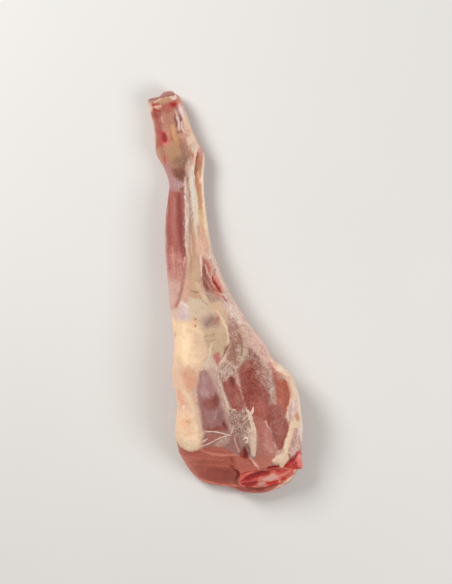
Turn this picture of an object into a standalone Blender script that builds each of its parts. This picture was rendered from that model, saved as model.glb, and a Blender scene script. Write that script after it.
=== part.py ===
"""Raw leg of lamb, bone in, with its whole shank and hock.

The leg lies on its outer side with the inner side up. +Y runs along the leg from the cut rump to the hock,
+X points to the back of the leg, where the Achilles tendon is, and +Z is up. The origin is on the table
under the middle of the leg's box. Lengths in the tables are in millimetres.

The flesh, fat and sinew have grown together, so they are one solid, leg_meat. The two bones that show at
the cut ends are solids of their own, hip_bone and hock_bone, and each sits in a socket of the flesh.
"""

import math
from collections import namedtuple

import bmesh
import bpy
import numpy as np

MM = 0.001

# The middle of the finished leg's box, in the frame that the tables below are written in.
TABLE_FRAME_CENTRE = (-0.72, 7.66)

# A ridge, or a furrow where the height is negative, along a path of (x, y).
Relief = namedtuple("Relief", "name path width height")

# Cross-sections of thigh, shank and hock: the place along the leg, the front and back edges, the underside
# and the top, and how square the section is (2 is an ellipse).
Section = namedtuple("Section", "y front back under top square")
LEG_SECTIONS = [
    Section(230, -26.6, 9.0, 2.5, 29.0, 2.6),
    Section(222, -25.2, 12.0, 2.0, 30.0, 2.6),
    Section(206, -24.6, 14.4, 1.2, 32.0, 2.5),
    Section(190, -25.6, 16.4, 0.2, 34.5, 2.4),
    Section(172, -28.2, 19.6, -0.8, 38.0, 2.3),
    Section(160, -24.8, 16.0, -0.6, 37.0, 2.2),
    Section(148, -21.6, 11.0, 1.5, 35.0, 2.2),
    Section(138, -20.6, 8.8, 2.8, 34.5, 2.2),
    Section(120, -25.2, 7.4, 3.4, 37.5, 2.2),
    Section(100, -32.2, 5.8, 3.5, 41.5, 2.2),
    Section(80, -37.2, 6.2, 3.4, 45.0, 2.2),
    Section(60, -40.6, 9.6, 3.0, 48.0, 2.2),
    Section(30, -44.6, 14.4, 2.0, 52.5, 2.3),
    Section(0, -48.0, 21.2, 0.6, 58.0, 2.3),
    Section(-14, -48.8, 26.6, -0.2, 61.0, 2.3),
    Section(-30, -49.6, 32.0, -1.0, 64.5, 2.3),
    Section(-60, -57.2, 46.2, -2.4, 71.0, 2.3),
    Section(-78, -61.4, 51.4, -3.0, 76.0, 2.3),
    Section(-90, -60.8, 62.0, -3.2, 78.5, 2.3),
    Section(-102, -61.6, 67.6, -3.4, 79.5, 2.3),
    Section(-120, -66.6, 69.6, -3.4, 78.5, 2.35),
    Section(-145, -71.0, 67.0, -3.0, 71.0, 2.4),
    Section(-165, -70.6, 60.5, -1.5, 60.0, 2.5),
]
HOCK_END_Y = LEG_SECTIONS[0].y
RUMP_END_Y = LEG_SECTIONS[-1].y
# How far the hock's parted end leans towards its back and its upper side, per millimetre, and over what
# length of the hock the rings turn until they stand upright.
HOCK_CUT_SLOPES = (0.05, -0.09)
HOCK_CUT_TURN = 12
# From here on the rings lean until the last one lies along the edge of the rump's cut.
LEAN_FROM_Y = -115.0

# The rump is cut slanting, so the cut's lower edge reaches further than its upper one. Each is (x, y).
CUT_LOWER_EDGE = [
    (-71, -162), (-66, -177), (-54, -194), (-40, -201.5), (-24, -207), (-12, -215),
    (8, -219.5), (26, -218.5), (41, -215), (52, -204), (60, -190),
]
CUT_UPPER_EDGE = [
    (-71, -150), (-52, -157), (-34, -157), (-20, -162), (-8, -171), (4, -184),
    (16, -191.5), (40, -193), (52, -188), (60, -183),
]
CUT_LOW_Z = 12.0
CUT_HIGH_Z = 56.0
# How strongly the cut bulges, and how much more it does beside the bone's thin end.
CUT_BULGE = 0.3
# How far the cut's lowest edge is drawn back in under the leg.
CUT_TUCK = 4.0
CUT_BULGE_BY_BONE = Relief("bulge by the bone", [(-6, -230), (-6, -140)], 15, 0.7)

# Muscle bellies, fat and furrows on the upper side.
UPPER_RELIEF = [
    Relief("stifle fat", [(-34, -22), (-38, -60), (-49, -105), (-54, -140)], 14, 2.0),
    Relief("kneecap", [(-34, 3), (-33, -8)], 9, 1.8),
    Relief("thigh front belly", [(-27, -92), (-25, -132)], 10, 1.8),
    Relief("furrow in front of it", [(-33, -78), (-42, -104), (-42, -136)], 5, -1.5),
    Relief("furrow behind it", [(-18, -80), (-13, -104), (-10, -140)], 5, -1.3),
    Relief("middle belly", [(0, -92), (0, -120)], 7, 0.9),
    Relief("inner thigh belly", [(20, -92), (25, -118), (24, -168)], 13, 2.2),
    Relief("middle seam", [(9, -84), (10, -120), (11, -150)], 4, -0.9),
    Relief("back seam", [(43, -92), (43, -114), (36, -136), (32, -160)], 5, -1.4),
    Relief("back belly", [(55, -104), (54, -127), (44, -160)], 8, 1.6),
    Relief("hollow behind the knee", [(-2, -2), (2, -26)], 9, -1.5),
    Relief("calf belly", [(18, -12), (31, -58)], 11, 1.5),
    Relief("shin belly", [(-19, 118), (-27, 85), (-32, 50)], 8, 2.0),
    Relief("shin bone crest", [(-4, 124), (-9, 92), (-15, 62), (-18, 44)], 3.5, 1.8),
    Relief("flexor tendon", [(5, 146), (2.5, 118), (0, 96), (-4, 78)], 4, 2.0),
    Relief("furrow at the knee", [(-27, 28), (-34, 16), (-42, 0)], 3, -1.4),
    Relief("hock hollow", [(5, 178), (4, 154)], 6, -1.6),
    Relief("ankle bump", [(-17, 177), (-16, 171)], 8, 1.3),
    Relief("hock tendon", [(8, 216), (9, 196), (14, 172)], 4, 1.4),
]
LOWER_RELIEF = [
    Relief("outer seam", [(10, -150), (6, -70), (-10, 10)], 6, -2.4),
    Relief("outer shin furrow", [(-12, 20), (-8, 110)], 5, -1.6),
]
CUT_CRACK = Relief("crack between the cut muscles", [(-16, -178), (-14, -194), (-17, -204)], 3.0, -3.2)
CUT_NOTCH = Relief("notch above the cut", [(0, -167), (-1, -173)], 4.5, -3.0)
# The thigh gets thinner towards the back of the rump: over which x and y, and by what share.
BACK_TAPER_X = (0.0, 62.0)
BACK_TAPER_Y = (-128.0, -198.0)
BACK_TAPER = 0.16

# Cords and lobes that stand off the leg. Each row is the centre (x, y, z) and the half sizes along x and z.
ACHILLES_TENDON = [
    (14.0, 178, 20, 4.0, 6.0), (17.5, 168, 20, 5.6, 7.5), (18.6, 158, 20, 5.6, 7.0), (17.8, 150, 20, 4.8, 5.8),
    (15.4, 139, 20, 4.0, 5.0), (12.2, 122, 20, 3.7, 5.0), (10.0, 105, 21, 3.6, 5.4), (8.6, 90, 22, 3.9, 6.0),
    (6.4, 72, 24, 4.6, 8.0), (4.8, 54, 26, 6.2, 11.0), (4.4, 38, 27, 7.2, 14.0),
]
WEB_BEHIND_SHIN = [
    (9, 166, 20, 8.0, 8.0), (9, 150, 20, 7.6, 7.0), (6.5, 135, 20, 7.0, 6.6), (4.5, 115, 21, 6.6, 7.4),
    (3.5, 95, 22, 6.0, 9.0), (2.5, 76, 24, 5.6, 12.0),
]
TORN_LOBE = [
    (50, -176, 34, 7.0, 8.0), (54.2, -190, 31, 5.2, 7.0), (55.2, -203, 27, 4.4, 5.0),
]
CUT_RIM_LOBE = [
    (-24, 20, 14, 5.0, 8.0), (-8, 14.0, 14, 7.0, 11.0), (12, 10.0, 13, 8.5, 12.0), (32, 12, 13, 8.0, 11.0),
    (46, 22, 15, 6.5, 9.0),
]
CUT_RIM_LOBE_AT_Y = -222.0

# The hip bone was sawn through, at a slant that matches the rump's cut.
HIP_BONE_FACE_CENTRE = (16.8, -202.4, 37.0)
HIP_BONE_FACE_TILT_DEG = 35.0  # from upright
HIP_BONE_FACE_HALF = (30.5, 15.6)
HIP_BONE_INNER_HALF = (19.0, 9.0)
HIP_BONE_DEPTH = 42.0
HIP_BONE_PROUD = 1.0
# The sawn face is an oval with a waist and one heavier corner, as shares of its half width.
HIP_BONE_WAIST = 0.10
HIP_BONE_CORNER = 0.06

# The hock was parted at a joint, so its bone ends in two knuckles.
HOCK_BONE_CENTRE = (-8.8, 15.8)
HOCK_BONE_HALF = (15.2, 10.6)
HOCK_BONE_INNER_HALF = (11.5, 8.5)
HOCK_BONE_INNER_Y = 188.0
HOCK_BONE_RIM_Y = 230.6
HOCK_BONE_EDGE = 0.4  # the small step at the joint face's rim
KNUCKLES = [(-1.2, 7.9, 4.6), (-20.0, 5.5, 0.8)]  # centre x, half width, height
# How flat the knuckles' tops are, and how square their rim is.
KNUCKLE_FLATNESS = 4
KNUCKLE_RIM_SQUARENESS = 7

# How strongly the bones' inner ends are rounded off.
INNER_END_BLUNTING = 0.75
SOCKET_GAP = 0.35
VOXEL = 1.9
SURFACE_SMOOTHING = 5
KEPT_SHARE_OF_TRIANGLES = 0.092

SHARP_ANGLE = math.radians(50)

RING_POINTS = 120
BONE_RING_POINTS = 32
ROW_SPACING = 2.6
CAP_RINGS = 20


# ---------------------------------------------------------------- curves and shapes

def curve_through(knots, at):
    """A smooth curve through (place, value) knots, read at the places asked for, with no overshoot."""
    places, values = (np.array(column, float) for column in zip(*sorted(knots)))
    steps = np.diff(places)
    slopes = np.diff(values) / steps
    tangents = np.zeros(len(places))
    same_way = slopes[:-1] * slopes[1:] > 0
    before, after = 2 * steps[1:] + steps[:-1], steps[1:] + 2 * steps[:-1]
    safe_low = np.where(same_way, slopes[:-1], 1.0)
    safe_high = np.where(same_way, slopes[1:], 1.0)
    tangents[1:-1] = np.where(same_way, (before + after) / (before / safe_low + after / safe_high), 0.0)
    tangents[0], tangents[-1] = slopes[0], slopes[-1]
    at = np.clip(at, places[0], places[-1])
    i = np.clip(np.searchsorted(places, at) - 1, 0, len(steps) - 1)
    t = (at - places[i]) / steps[i]
    return (
        (2 * t**3 - 3 * t**2 + 1) * values[i]
        + (t**3 - 2 * t**2 + t) * steps[i] * tangents[i]
        + (3 * t**2 - 2 * t**3) * values[i + 1]
        + (t**3 - t**2) * steps[i] * tangents[i + 1]
    )


def rounded_section(front, back, under, top, square):
    """One ring of (x, z) points: a superellipse that fills the box between its four edges."""
    angle = np.linspace(0, 2 * math.pi, RING_POINTS, endpoint=False)
    c, s = np.cos(angle), np.sin(angle)
    x = (front + back) / 2 + (back - front) / 2 * np.sign(c) * np.abs(c) ** (2 / square)
    z = (under + top) / 2 + (top - under) / 2 * np.sign(s) * np.abs(s) ** (2 / square)
    return x, z


def smooth_step(t):
    t = np.clip(t, 0, 1)
    return t * t * (3 - 2 * t)


def distance_to_path(x, y, path):
    """How far each (x, y) is from a path of straight runs."""
    nearest = np.full(len(x), np.inf)
    for (ax, ay), (bx, by) in zip(path, path[1:]):
        run = (bx - ax) ** 2 + (by - ay) ** 2
        t = np.clip(((x - ax) * (bx - ax) + (y - ay) * (by - ay)) / run, 0, 1)
        nearest = np.minimum(nearest, np.hypot(x - ax - t * (bx - ax), y - ay - t * (by - ay)))
    return nearest


def raised_by(reliefs, x, y):
    return sum(r.height * np.exp(-((distance_to_path(x, y, r.path) / r.width) ** 2)) for r in reliefs)


def rump_cut_y(x, z):
    """How far along the leg the slanting cut lies at (x, z): it bulges, as soft meat does."""
    lower, upper = curve_through(CUT_LOWER_EDGE, x), curve_through(CUT_UPPER_EDGE, x)
    down = np.clip((CUT_HIGH_Z - z) / (CUT_HIGH_Z - CUT_LOW_Z), 0, 1)
    tucked = np.clip((CUT_LOW_Z - z) / CUT_LOW_Z, 0, 1) ** 2 * CUT_TUCK
    bulge = CUT_BULGE + raised_by([CUT_BULGE_BY_BONE], x, upper)
    bulged = (1 - bulge) * down + bulge * np.sin(down * math.pi / 2)
    return upper + (lower - upper) * bulged + tucked


def hock_cut_y(x, z):
    """The hock's parted end leans a little towards its upper side."""
    to_back, to_top = HOCK_CUT_SLOPES
    return HOCK_END_Y + to_back * (x - HOCK_BONE_CENTRE[0]) + to_top * (z - HOCK_BONE_CENTRE[1])


# ---------------------------------------------------------------- meshes

def add_closed_tube(bm, rings):
    """Adds rings of points, all of one length, as a tube whose two ends are closed by a fan."""
    made = [[bm.verts.new(point) for point in ring] for ring in rings]
    for near, far in zip(made, made[1:]):
        for j, corner in enumerate(near):
            k = (j + 1) % len(near)
            bm.faces.new((corner, near[k], far[k], far[j]))
    for ring, points, turned in ((made[0], rings[0], True), (made[-1], rings[-1], False)):
        middle = bm.verts.new(np.mean(points, axis=0))
        for j, corner in enumerate(ring):
            k = (j + 1) % len(ring)
            bm.faces.new((ring[k], corner, middle) if turned else (corner, ring[k], middle))


def leg_rings():
    """The rings of thigh, shank and hock, from the middle of the hock's end to the middle of the rump's cut."""
    column = {name: [(s.y, getattr(s, name)) for s in LEG_SECTIONS] for name in Section._fields[1:]}

    def ring_at(y):
        return rounded_section(*(float(curve_through(knots, y)) for knots in column.values()))

    rings = []
    for share in np.linspace(0.05, 1, CAP_RINGS, endpoint=False):
        x, z = ring_at(HOCK_END_Y)
        x, z = x.mean() + share * (x - x.mean()), z.mean() + share * (z - z.mean())
        rings.append(np.stack([x, hock_cut_y(x, z), z], axis=1))
    rows = int((HOCK_END_Y - RUMP_END_Y) / ROW_SPACING)
    for y in np.linspace(HOCK_END_Y, RUMP_END_Y, rows):
        x, z = ring_at(y)
        at_hock = np.clip(1 - (HOCK_END_Y - y) / HOCK_CUT_TURN, 0, 1) ** 2
        lean = np.clip((LEAN_FROM_Y - y) / (LEAN_FROM_Y - RUMP_END_Y), 0, 1) ** 2
        place = y + (hock_cut_y(x, z) - HOCK_END_Y) * at_hock + (rump_cut_y(x, z) - RUMP_END_Y) * lean
        rings.append(np.stack([x, place, z], axis=1))
    for share in np.linspace(1, 0.03, CAP_RINGS * 2)[1:]:
        x, z = ring_at(RUMP_END_Y)
        x, z = x.mean() + share * (x - x.mean()), z.mean() + share * (z - z.mean())
        rings.append(np.stack([x, rump_cut_y(x, z), z], axis=1))
    return rings


def cord_rings(rows, along_x=False):
    """Rings of a cord or lobe whose rows give its centre and half sizes; its ends are rounded."""
    rows = np.array(rows, float)
    run = rows[:, 0] if along_x else rows[:, 1]
    at = np.linspace(run[0], run[-1], max(16, int(abs(run[-1] - run[0]) / 2)))
    across, height, half, half_z = (
        curve_through(list(zip(run, rows[:, k])), at) for k in (1 if along_x else 0, 2, 3, 4)
    )
    share = np.linspace(-1, 1, len(at))
    rounding = np.clip(1 - np.abs(share) ** 10, 0.02, 1) ** 0.5
    angle = np.linspace(0, 2 * math.pi, 28, endpoint=False)
    rings = []
    for i, place in enumerate(at):
        side = across[i] + half[i] * rounding[i] * np.cos(angle)
        z = height[i] + half_z[i] * rounding[i] * np.sin(angle)
        length = np.full_like(side, place)
        rings.append(np.stack([length, side + CUT_RIM_LOBE_AT_Y, z] if along_x else [side, length, z], axis=1))
    return rings


def shape_leg_surface(mesh):
    """Raises the muscle bellies and presses in the furrows, square to the surface."""
    points = np.array([v.co for v in mesh.vertices])
    normals = np.array([v.normal for v in mesh.vertices])
    x, y = points[:, 0], points[:, 1]
    upper = np.clip(normals[:, 2] * 2.5, 0, 1)
    lower = np.clip(-normals[:, 2] * 2.5, 0, 1)
    raised = raised_by(UPPER_RELIEF + [CUT_NOTCH], x, y) * upper + raised_by(LOWER_RELIEF, x, y) * lower
    facing_rump = np.clip(-normals[:, 1] * 3 - 0.5, 0, 1)
    raised += raised_by([CUT_CRACK], x, y) * facing_rump
    points += normals * raised[:, None]
    taper_x = smooth_step((points[:, 0] - BACK_TAPER_X[0]) / (BACK_TAPER_X[1] - BACK_TAPER_X[0]))
    taper_y = smooth_step((points[:, 1] - BACK_TAPER_Y[0]) / (BACK_TAPER_Y[1] - BACK_TAPER_Y[0]))
    points[:, 2] *= 1 - BACK_TAPER * taper_x * taper_y
    for vertex, point in zip(mesh.vertices, points):
        vertex.co = point


def mesh_of(name, shells):
    bm = bmesh.new()
    for rings in shells:
        add_closed_tube(bm, rings)
    bmesh.ops.recalc_face_normals(bm, faces=bm.faces)
    mesh = bpy.data.meshes.new(name)
    bm.to_mesh(mesh)
    bm.free()
    return mesh


def object_of(name, mesh, material):
    """An object of a mesh given in millimetres in the tables' frame, put into the leg's own frame in metres."""
    for vertex in mesh.vertices:
        x, y, z = vertex.co
        vertex.co = ((x - TABLE_FRAME_CENTRE[0]) * MM, (y - TABLE_FRAME_CENTRE[1]) * MM, z * MM)
    mesh.shade_smooth()
    mesh.set_sharp_from_angle(angle=SHARP_ANGLE)
    mesh.materials.append(material)
    obj = bpy.data.objects.new(name, mesh)
    bpy.context.scene.collection.objects.link(obj)
    return obj


def surface_material(name, colour, roughness):
    material = bpy.data.materials.new(name)
    material.use_nodes = True
    shader = material.node_tree.nodes["Principled BSDF"]
    shader.inputs["Base Color"].default_value = (*colour, 1)
    shader.inputs["Roughness"].default_value = roughness
    shader.inputs["Metallic"].default_value = 0
    return material


# ---------------------------------------------------------------- bones

def hip_bone_rings(grown=0.0, proud=HIP_BONE_PROUD):
    """Rings from the sawn face down to the bone's blunt inner end, each side grown by the same amount."""
    tilt = math.radians(HIP_BONE_FACE_TILT_DEG)
    outwards = np.array([0, -math.cos(tilt), math.sin(tilt)])
    upwards = np.array([0, math.sin(tilt), math.cos(tilt)])
    along = np.array([1.0, 0, 0])
    angle = np.linspace(0, 2 * math.pi, BONE_RING_POINTS, endpoint=False)
    waist = 1 - HIP_BONE_WAIST * np.cos(2 * angle) + HIP_BONE_CORNER * np.sin(3 * angle + 0.6)
    rings = []
    for depth in (-proud, *np.linspace(0, HIP_BONE_DEPTH, 9)):
        share = np.clip(depth / HIP_BONE_DEPTH, 0, 1)
        blunt = math.sqrt(1 - share**6 * INNER_END_BLUNTING)
        half_x, half_y = (
            (face * (1 - share) + inner * share) * blunt + grown
            for face, inner in zip(HIP_BONE_FACE_HALF, HIP_BONE_INNER_HALF)
        )
        x, y = half_x * np.cos(angle), half_y * np.sin(angle) * waist
        end_gap = grown * share
        centre = np.array(HIP_BONE_FACE_CENTRE) - outwards * (depth + end_gap)
        rings.append(centre + x[:, None] * along + y[:, None] * upwards)
    return rings


def hock_bone_rings(grown=0.0, out_by=0.0):
    """Rings from the knuckles at the joint down to the bone's blunt inner end."""
    angle = np.linspace(0, 2 * math.pi, BONE_RING_POINTS, endpoint=False)
    rings = []
    for share in (0.25, 0.5, 0.72, 0.88, 0.97, 1.0):
        x = HOCK_BONE_CENTRE[0] + (HOCK_BONE_HALF[0] + grown) * share * np.cos(angle)
        z = HOCK_BONE_CENTRE[1] + (HOCK_BONE_HALF[1] + grown) * share * np.sin(angle)
        knuckle = sum(
            height * np.exp(-(((x - at) / half_width) ** KNUCKLE_FLATNESS)) for at, half_width, height in KNUCKLES
        )
        dome = math.sqrt(1 - share**KNUCKLE_RIM_SQUARENESS)
        y = HOCK_BONE_RIM_Y + HOCK_BONE_EDGE + out_by + knuckle * dome
        rings.append(np.stack([x, y, z], axis=1))
    depth = HOCK_BONE_RIM_Y - HOCK_BONE_INNER_Y
    for share in np.linspace(0, 1, 8):
        blunt = math.sqrt(1 - share**6 * INNER_END_BLUNTING)
        half_x, half_z = (
            (end * (1 - share) + inner * share) * blunt + grown
            for end, inner in zip(HOCK_BONE_HALF, HOCK_BONE_INNER_HALF)
        )
        x = HOCK_BONE_CENTRE[0] + half_x * np.cos(angle)
        z = HOCK_BONE_CENTRE[1] + half_z * np.sin(angle)
        y = HOCK_BONE_RIM_Y - depth * share - grown * share
        rings.append(np.stack([x, np.full_like(x, y), z], axis=1))
    return rings


# ---------------------------------------------------------------- the leg

def cutter_of(name, mesh, material):
    cutter = object_of(name, mesh, material)
    cutter.hide_render = True
    cutter.display_type = "WIRE"
    return cutter


def table_cutter(material):
    """A block under the table's surface: what it cuts leaves the flat patches that the leg rests on."""
    bm = bmesh.new()
    bmesh.ops.create_cube(bm, size=1.0)
    bmesh.ops.scale(bm, vec=(300, 700, 40), verts=bm.verts)
    bmesh.ops.translate(bm, vec=(0, 0, -20), verts=bm.verts)
    mesh = bpy.data.meshes.new("table")
    bm.to_mesh(mesh)
    bm.free()
    return cutter_of("table_cutter", mesh, material)


def leg_meat(material, bone_material):
    """Fuses the leg's surface with its cords and lobes, then cuts the resting face and the bone sockets."""
    core = mesh_of("leg core", [leg_rings()])
    shape_leg_surface(core)
    bm = bmesh.new()
    bm.from_mesh(core)
    for rows, along_x in (
        (ACHILLES_TENDON, False), (WEB_BEHIND_SHIN, False), (TORN_LOBE, False), (CUT_RIM_LOBE, True),
    ):
        add_closed_tube(bm, cord_rings(rows, along_x))
    bmesh.ops.recalc_face_normals(bm, faces=bm.faces)
    bm.to_mesh(core)
    bm.free()
    leg = object_of("leg_meat", core, material)

    fuse = leg.modifiers.new("fuse", "REMESH")
    fuse.mode = "VOXEL"
    fuse.voxel_size = VOXEL * MM
    soften = leg.modifiers.new("soften", "SMOOTH")
    soften.factor = 0.5
    soften.iterations = SURFACE_SMOOTHING
    thin_out = leg.modifiers.new("thin_out", "DECIMATE")
    thin_out.ratio = KEPT_SHARE_OF_TRIANGLES
    cutters = (
        table_cutter(material),
        cutter_of("hip_socket", mesh_of("hip socket", [hip_bone_rings(SOCKET_GAP, 30.0)]), bone_material),
        cutter_of("hock_socket", mesh_of("hock socket", [hock_bone_rings(SOCKET_GAP, 20.0)]), bone_material),
    )
    for cutter in cutters:
        cut = leg.modifiers.new(cutter.name, "BOOLEAN")
        cut.operation = "DIFFERENCE"
        cut.object = cutter
    return leg


def main():
    for obj in list(bpy.data.objects):
        bpy.data.objects.remove(obj)
    meat = surface_material("raw lamb", (0.50, 0.20, 0.15), 0.42)
    bone = surface_material("bone", (0.55, 0.28, 0.22), 0.50)
    leg_meat(meat, bone)
    object_of("hip_bone", mesh_of("hip bone", [hip_bone_rings()]), bone)
    object_of("hock_bone", mesh_of("hock bone", [hock_bone_rings()]), bone)


main()
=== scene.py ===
"""The looks of a raw leg of lamb: its flesh, fat, silverskin, sinews and sawn bones, on a pale table.

Lengths are in millimetres until a mesh is made. A feature's place is (s, t), as it looks from straight
above: s runs across the leg towards the Achilles tendon, and t along it towards the hock.
"""

import itertools
import math
from collections import namedtuple

import bmesh
import bpy
import numpy as np
from mathutils import Matrix, Vector
from mathutils.bvhtree import BVHTree


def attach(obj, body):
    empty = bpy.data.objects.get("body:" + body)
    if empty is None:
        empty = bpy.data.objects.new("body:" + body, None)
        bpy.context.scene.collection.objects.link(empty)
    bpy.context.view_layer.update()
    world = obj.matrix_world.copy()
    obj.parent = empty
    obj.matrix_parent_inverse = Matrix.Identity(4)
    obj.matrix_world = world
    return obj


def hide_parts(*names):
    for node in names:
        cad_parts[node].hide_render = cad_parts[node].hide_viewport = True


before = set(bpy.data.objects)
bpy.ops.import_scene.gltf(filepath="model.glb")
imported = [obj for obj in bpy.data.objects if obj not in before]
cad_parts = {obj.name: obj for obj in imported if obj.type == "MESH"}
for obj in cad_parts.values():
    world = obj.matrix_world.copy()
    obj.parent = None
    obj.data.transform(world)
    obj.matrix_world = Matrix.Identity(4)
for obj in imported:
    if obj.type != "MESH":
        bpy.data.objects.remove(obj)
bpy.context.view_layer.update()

MM = 0.001

# The origin of (s, t), in millimetres from the middle of the box's base.
FEATURE_ORIGIN = (0.72, -7.66)

# The camera looks straight down at the point of the leg with these (s, t). It stands this far above the
# height at which (s, t) are true millimetres, and its picture takes in this much of the leg's plane.
CAMERA_OVER = (15.8, 5.6)
TRUE_SCALE_Z = 28.0
LENS = 135.0
SENSOR = 36.0
PICTURE_HEIGHT = 642.4
CAMERA_RISE = PICTURE_HEIGHT * LENS / SENSOR
LEAN_DEG = 12.0


# The studio's lamps shine at the origin from these places in metres. A pale table reflects some of their light.
Lamp = namedtuple("Lamp", "name place size watts")
LAMPS = [
    Lamp("key", (-0.75, 1.0, 1.35), 0.7, 27),
    Lamp("fill", (0.9, -0.55, 1.2), 0.9, 12),
]
SKY = 0.38
TABLE_GLOW = 0.55

# What a wet surface keeps of the light that falls on it, and its shine where it mirrors no lamp.
KEPT_LIGHT = 0.93
SHINE = 0.028
BRIGHTEST = 0.85


# ---------------------------------------------------------------- noise and shapes

def smooth_step(t):
    t = np.clip(t, 0, 1)
    return t * t * (3 - 2 * t)


def noise(points, scale, seed):
    """Smooth noise between -1 and 1 over points in millimetres, whose lumps are about `scale` wide."""
    at = points / np.asarray(scale, float)
    cell = np.floor(at).astype(np.int64)
    part = at - cell
    part = part * part * (3 - 2 * part)
    total = np.zeros(len(points))
    for corner in itertools.product((0, 1), repeat=points.shape[1]):
        key = np.full(len(points), seed * 2654435761 + 97, np.int64)
        weight = np.ones(len(points))
        for axis, step in enumerate(corner):
            key = (key ^ (cell[:, axis] + step)) * 0x9E3779B1
            key ^= key >> 15
            weight *= part[:, axis] if step else 1 - part[:, axis]
        key = (key * 0x85EBCA6B) & 0x7FFFFFFF
        total += weight * ((key >> 7) & 0xFFFF)
    return total / 32767.5 - 1


def fractal(points, scale, seed, octaves=3):
    sizes = [0.5**k for k in range(octaves)]
    return sum(a * noise(points, np.asarray(scale, float) * a, seed + k) for k,
            a in enumerate(sizes)) / sum(sizes)


def curve_through(points, steps=6, closed=False):
    """Points along a smooth curve that passes through the given ones."""
    p = [np.array(q, float) for q in points]
    p = [p[-1], *p, p[0], p[1]] if closed else [2 * p[0] - p[1], *p, 2 * p[-1] - p[-2]]
    curve = []
    for a, b, c, d in zip(p, p[1:], p[2:], p[3:]):
        for k in range(steps):
            t = k / steps
            curve.append(0.5 * (2 * b + (c - a) * t + (2 * a - 5 * b + 4 * c - d) * t**2 + (3 * b - a - 3 * c + d) * t**3))
    return np.array(curve if closed else [*curve, p[-2]])


def along_path(at, path):
    """For each (s, t), its distance from a path and how far along the path its nearest point is, from 0 to 1."""
    runs = np.hypot(*np.diff(path, axis=0).T)
    starts = np.concatenate([[0], np.cumsum(runs)])
    nearest = np.full(len(at), np.inf)
    share = np.zeros(len(at))
    for a, b, run, start in zip(path, path[1:], runs, starts):
        t = np.clip(((at - a) @ (b - a)) / max(run, 1e-6) ** 2, 0, 1)
        away = np.hypot(*(at - a - t[:, None] * (b - a)).T)
        closer = away < nearest
        nearest[closer] = away[closer]
        share[closer] = ((start + t * run) / starts[-1])[closer]
    return nearest, share


def depth_inside(at, outline):
    """How deep each (s, t) is inside a closed outline: negative outside."""
    shut = np.vstack([outline, outline[:1]])
    away, _ = along_path(at, shut)
    inside = np.zeros(len(at), bool)
    for (ax, ay), (bx, by) in zip(shut, shut[1:]):
        crosses = (ay > at[:, 1]) != (by > at[:, 1])
        where = ax + (at[:, 1] - ay) * (bx - ax) / (by - ay if by != ay else 1e-9)
        inside ^= crosses & (at[:, 0] < where)
    return np.where(inside, away, -away)


# ---------------------------------------------------------------- tissues

# How each kind of tissue takes its fine detail: the grain of its fibres, dry frosty specks, whose pale
# flecks are partly painted glints, lobes of fat, and how rough its wet surface is.
Tissue = namedtuple("Tissue", "fibre frost lobes rough")
LEAN = Tissue(1.0, 0.06, 0.0, 0.44)
FAT = Tissue(0.05, 0.02, 1.0, 0.48)
LUMPY = Tissue(0.05, 0.5, 1.0, 0.46)
SILVER = Tissue(0.25, 0.15, 0.0, 0.42)
DRY = Tissue(0.25, 1.0, 0.1, 0.46)
SINEW = Tissue(0.4, 0.15, 0.0, 0.36)
BLOOD = Tissue(0.2, 0.0, 0.0, 0.36)
CLOT = Tissue(0.1, 0.1, 0.0, 0.52)
SLICED = Tissue(0.35, 0.06, 0.2, 0.44)
BLOOM = Tissue(0.8, 0.22, 0.0, 0.44)
SPONGE = Tissue(0.0, 0.4, 0.2, 0.40)
FASCIA = Tissue(0.25, 1.0, 0.2, 0.46)

# A patch of tissue: its colour as it looks in even light (sRGB), how soft its edge is, how much of what lies
# under it it hides, and how far it stands up. An Area fills an outline, and a Line follows a path with a width
# at each of its points, or one for all.
Area = namedtuple("Area", "tissue colour soft amount lift outline")
Line = namedtuple("Line", "tissue colour soft amount lift widths path")


def spot(s, t, wide, long, turned=0):
    """An oval outline round (s, t)."""
    turn = math.radians(turned)
    c, n = math.cos(turn), math.sin(turn)
    round_about = [math.radians(a) for a in range(0, 360, 45)]
    return [
        (s + wide * math.cos(a) * c - long * math.sin(a) * n,
                t + wide * math.cos(a) * n + long * math.sin(a) * c)
        for a in round_about
    ]


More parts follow.
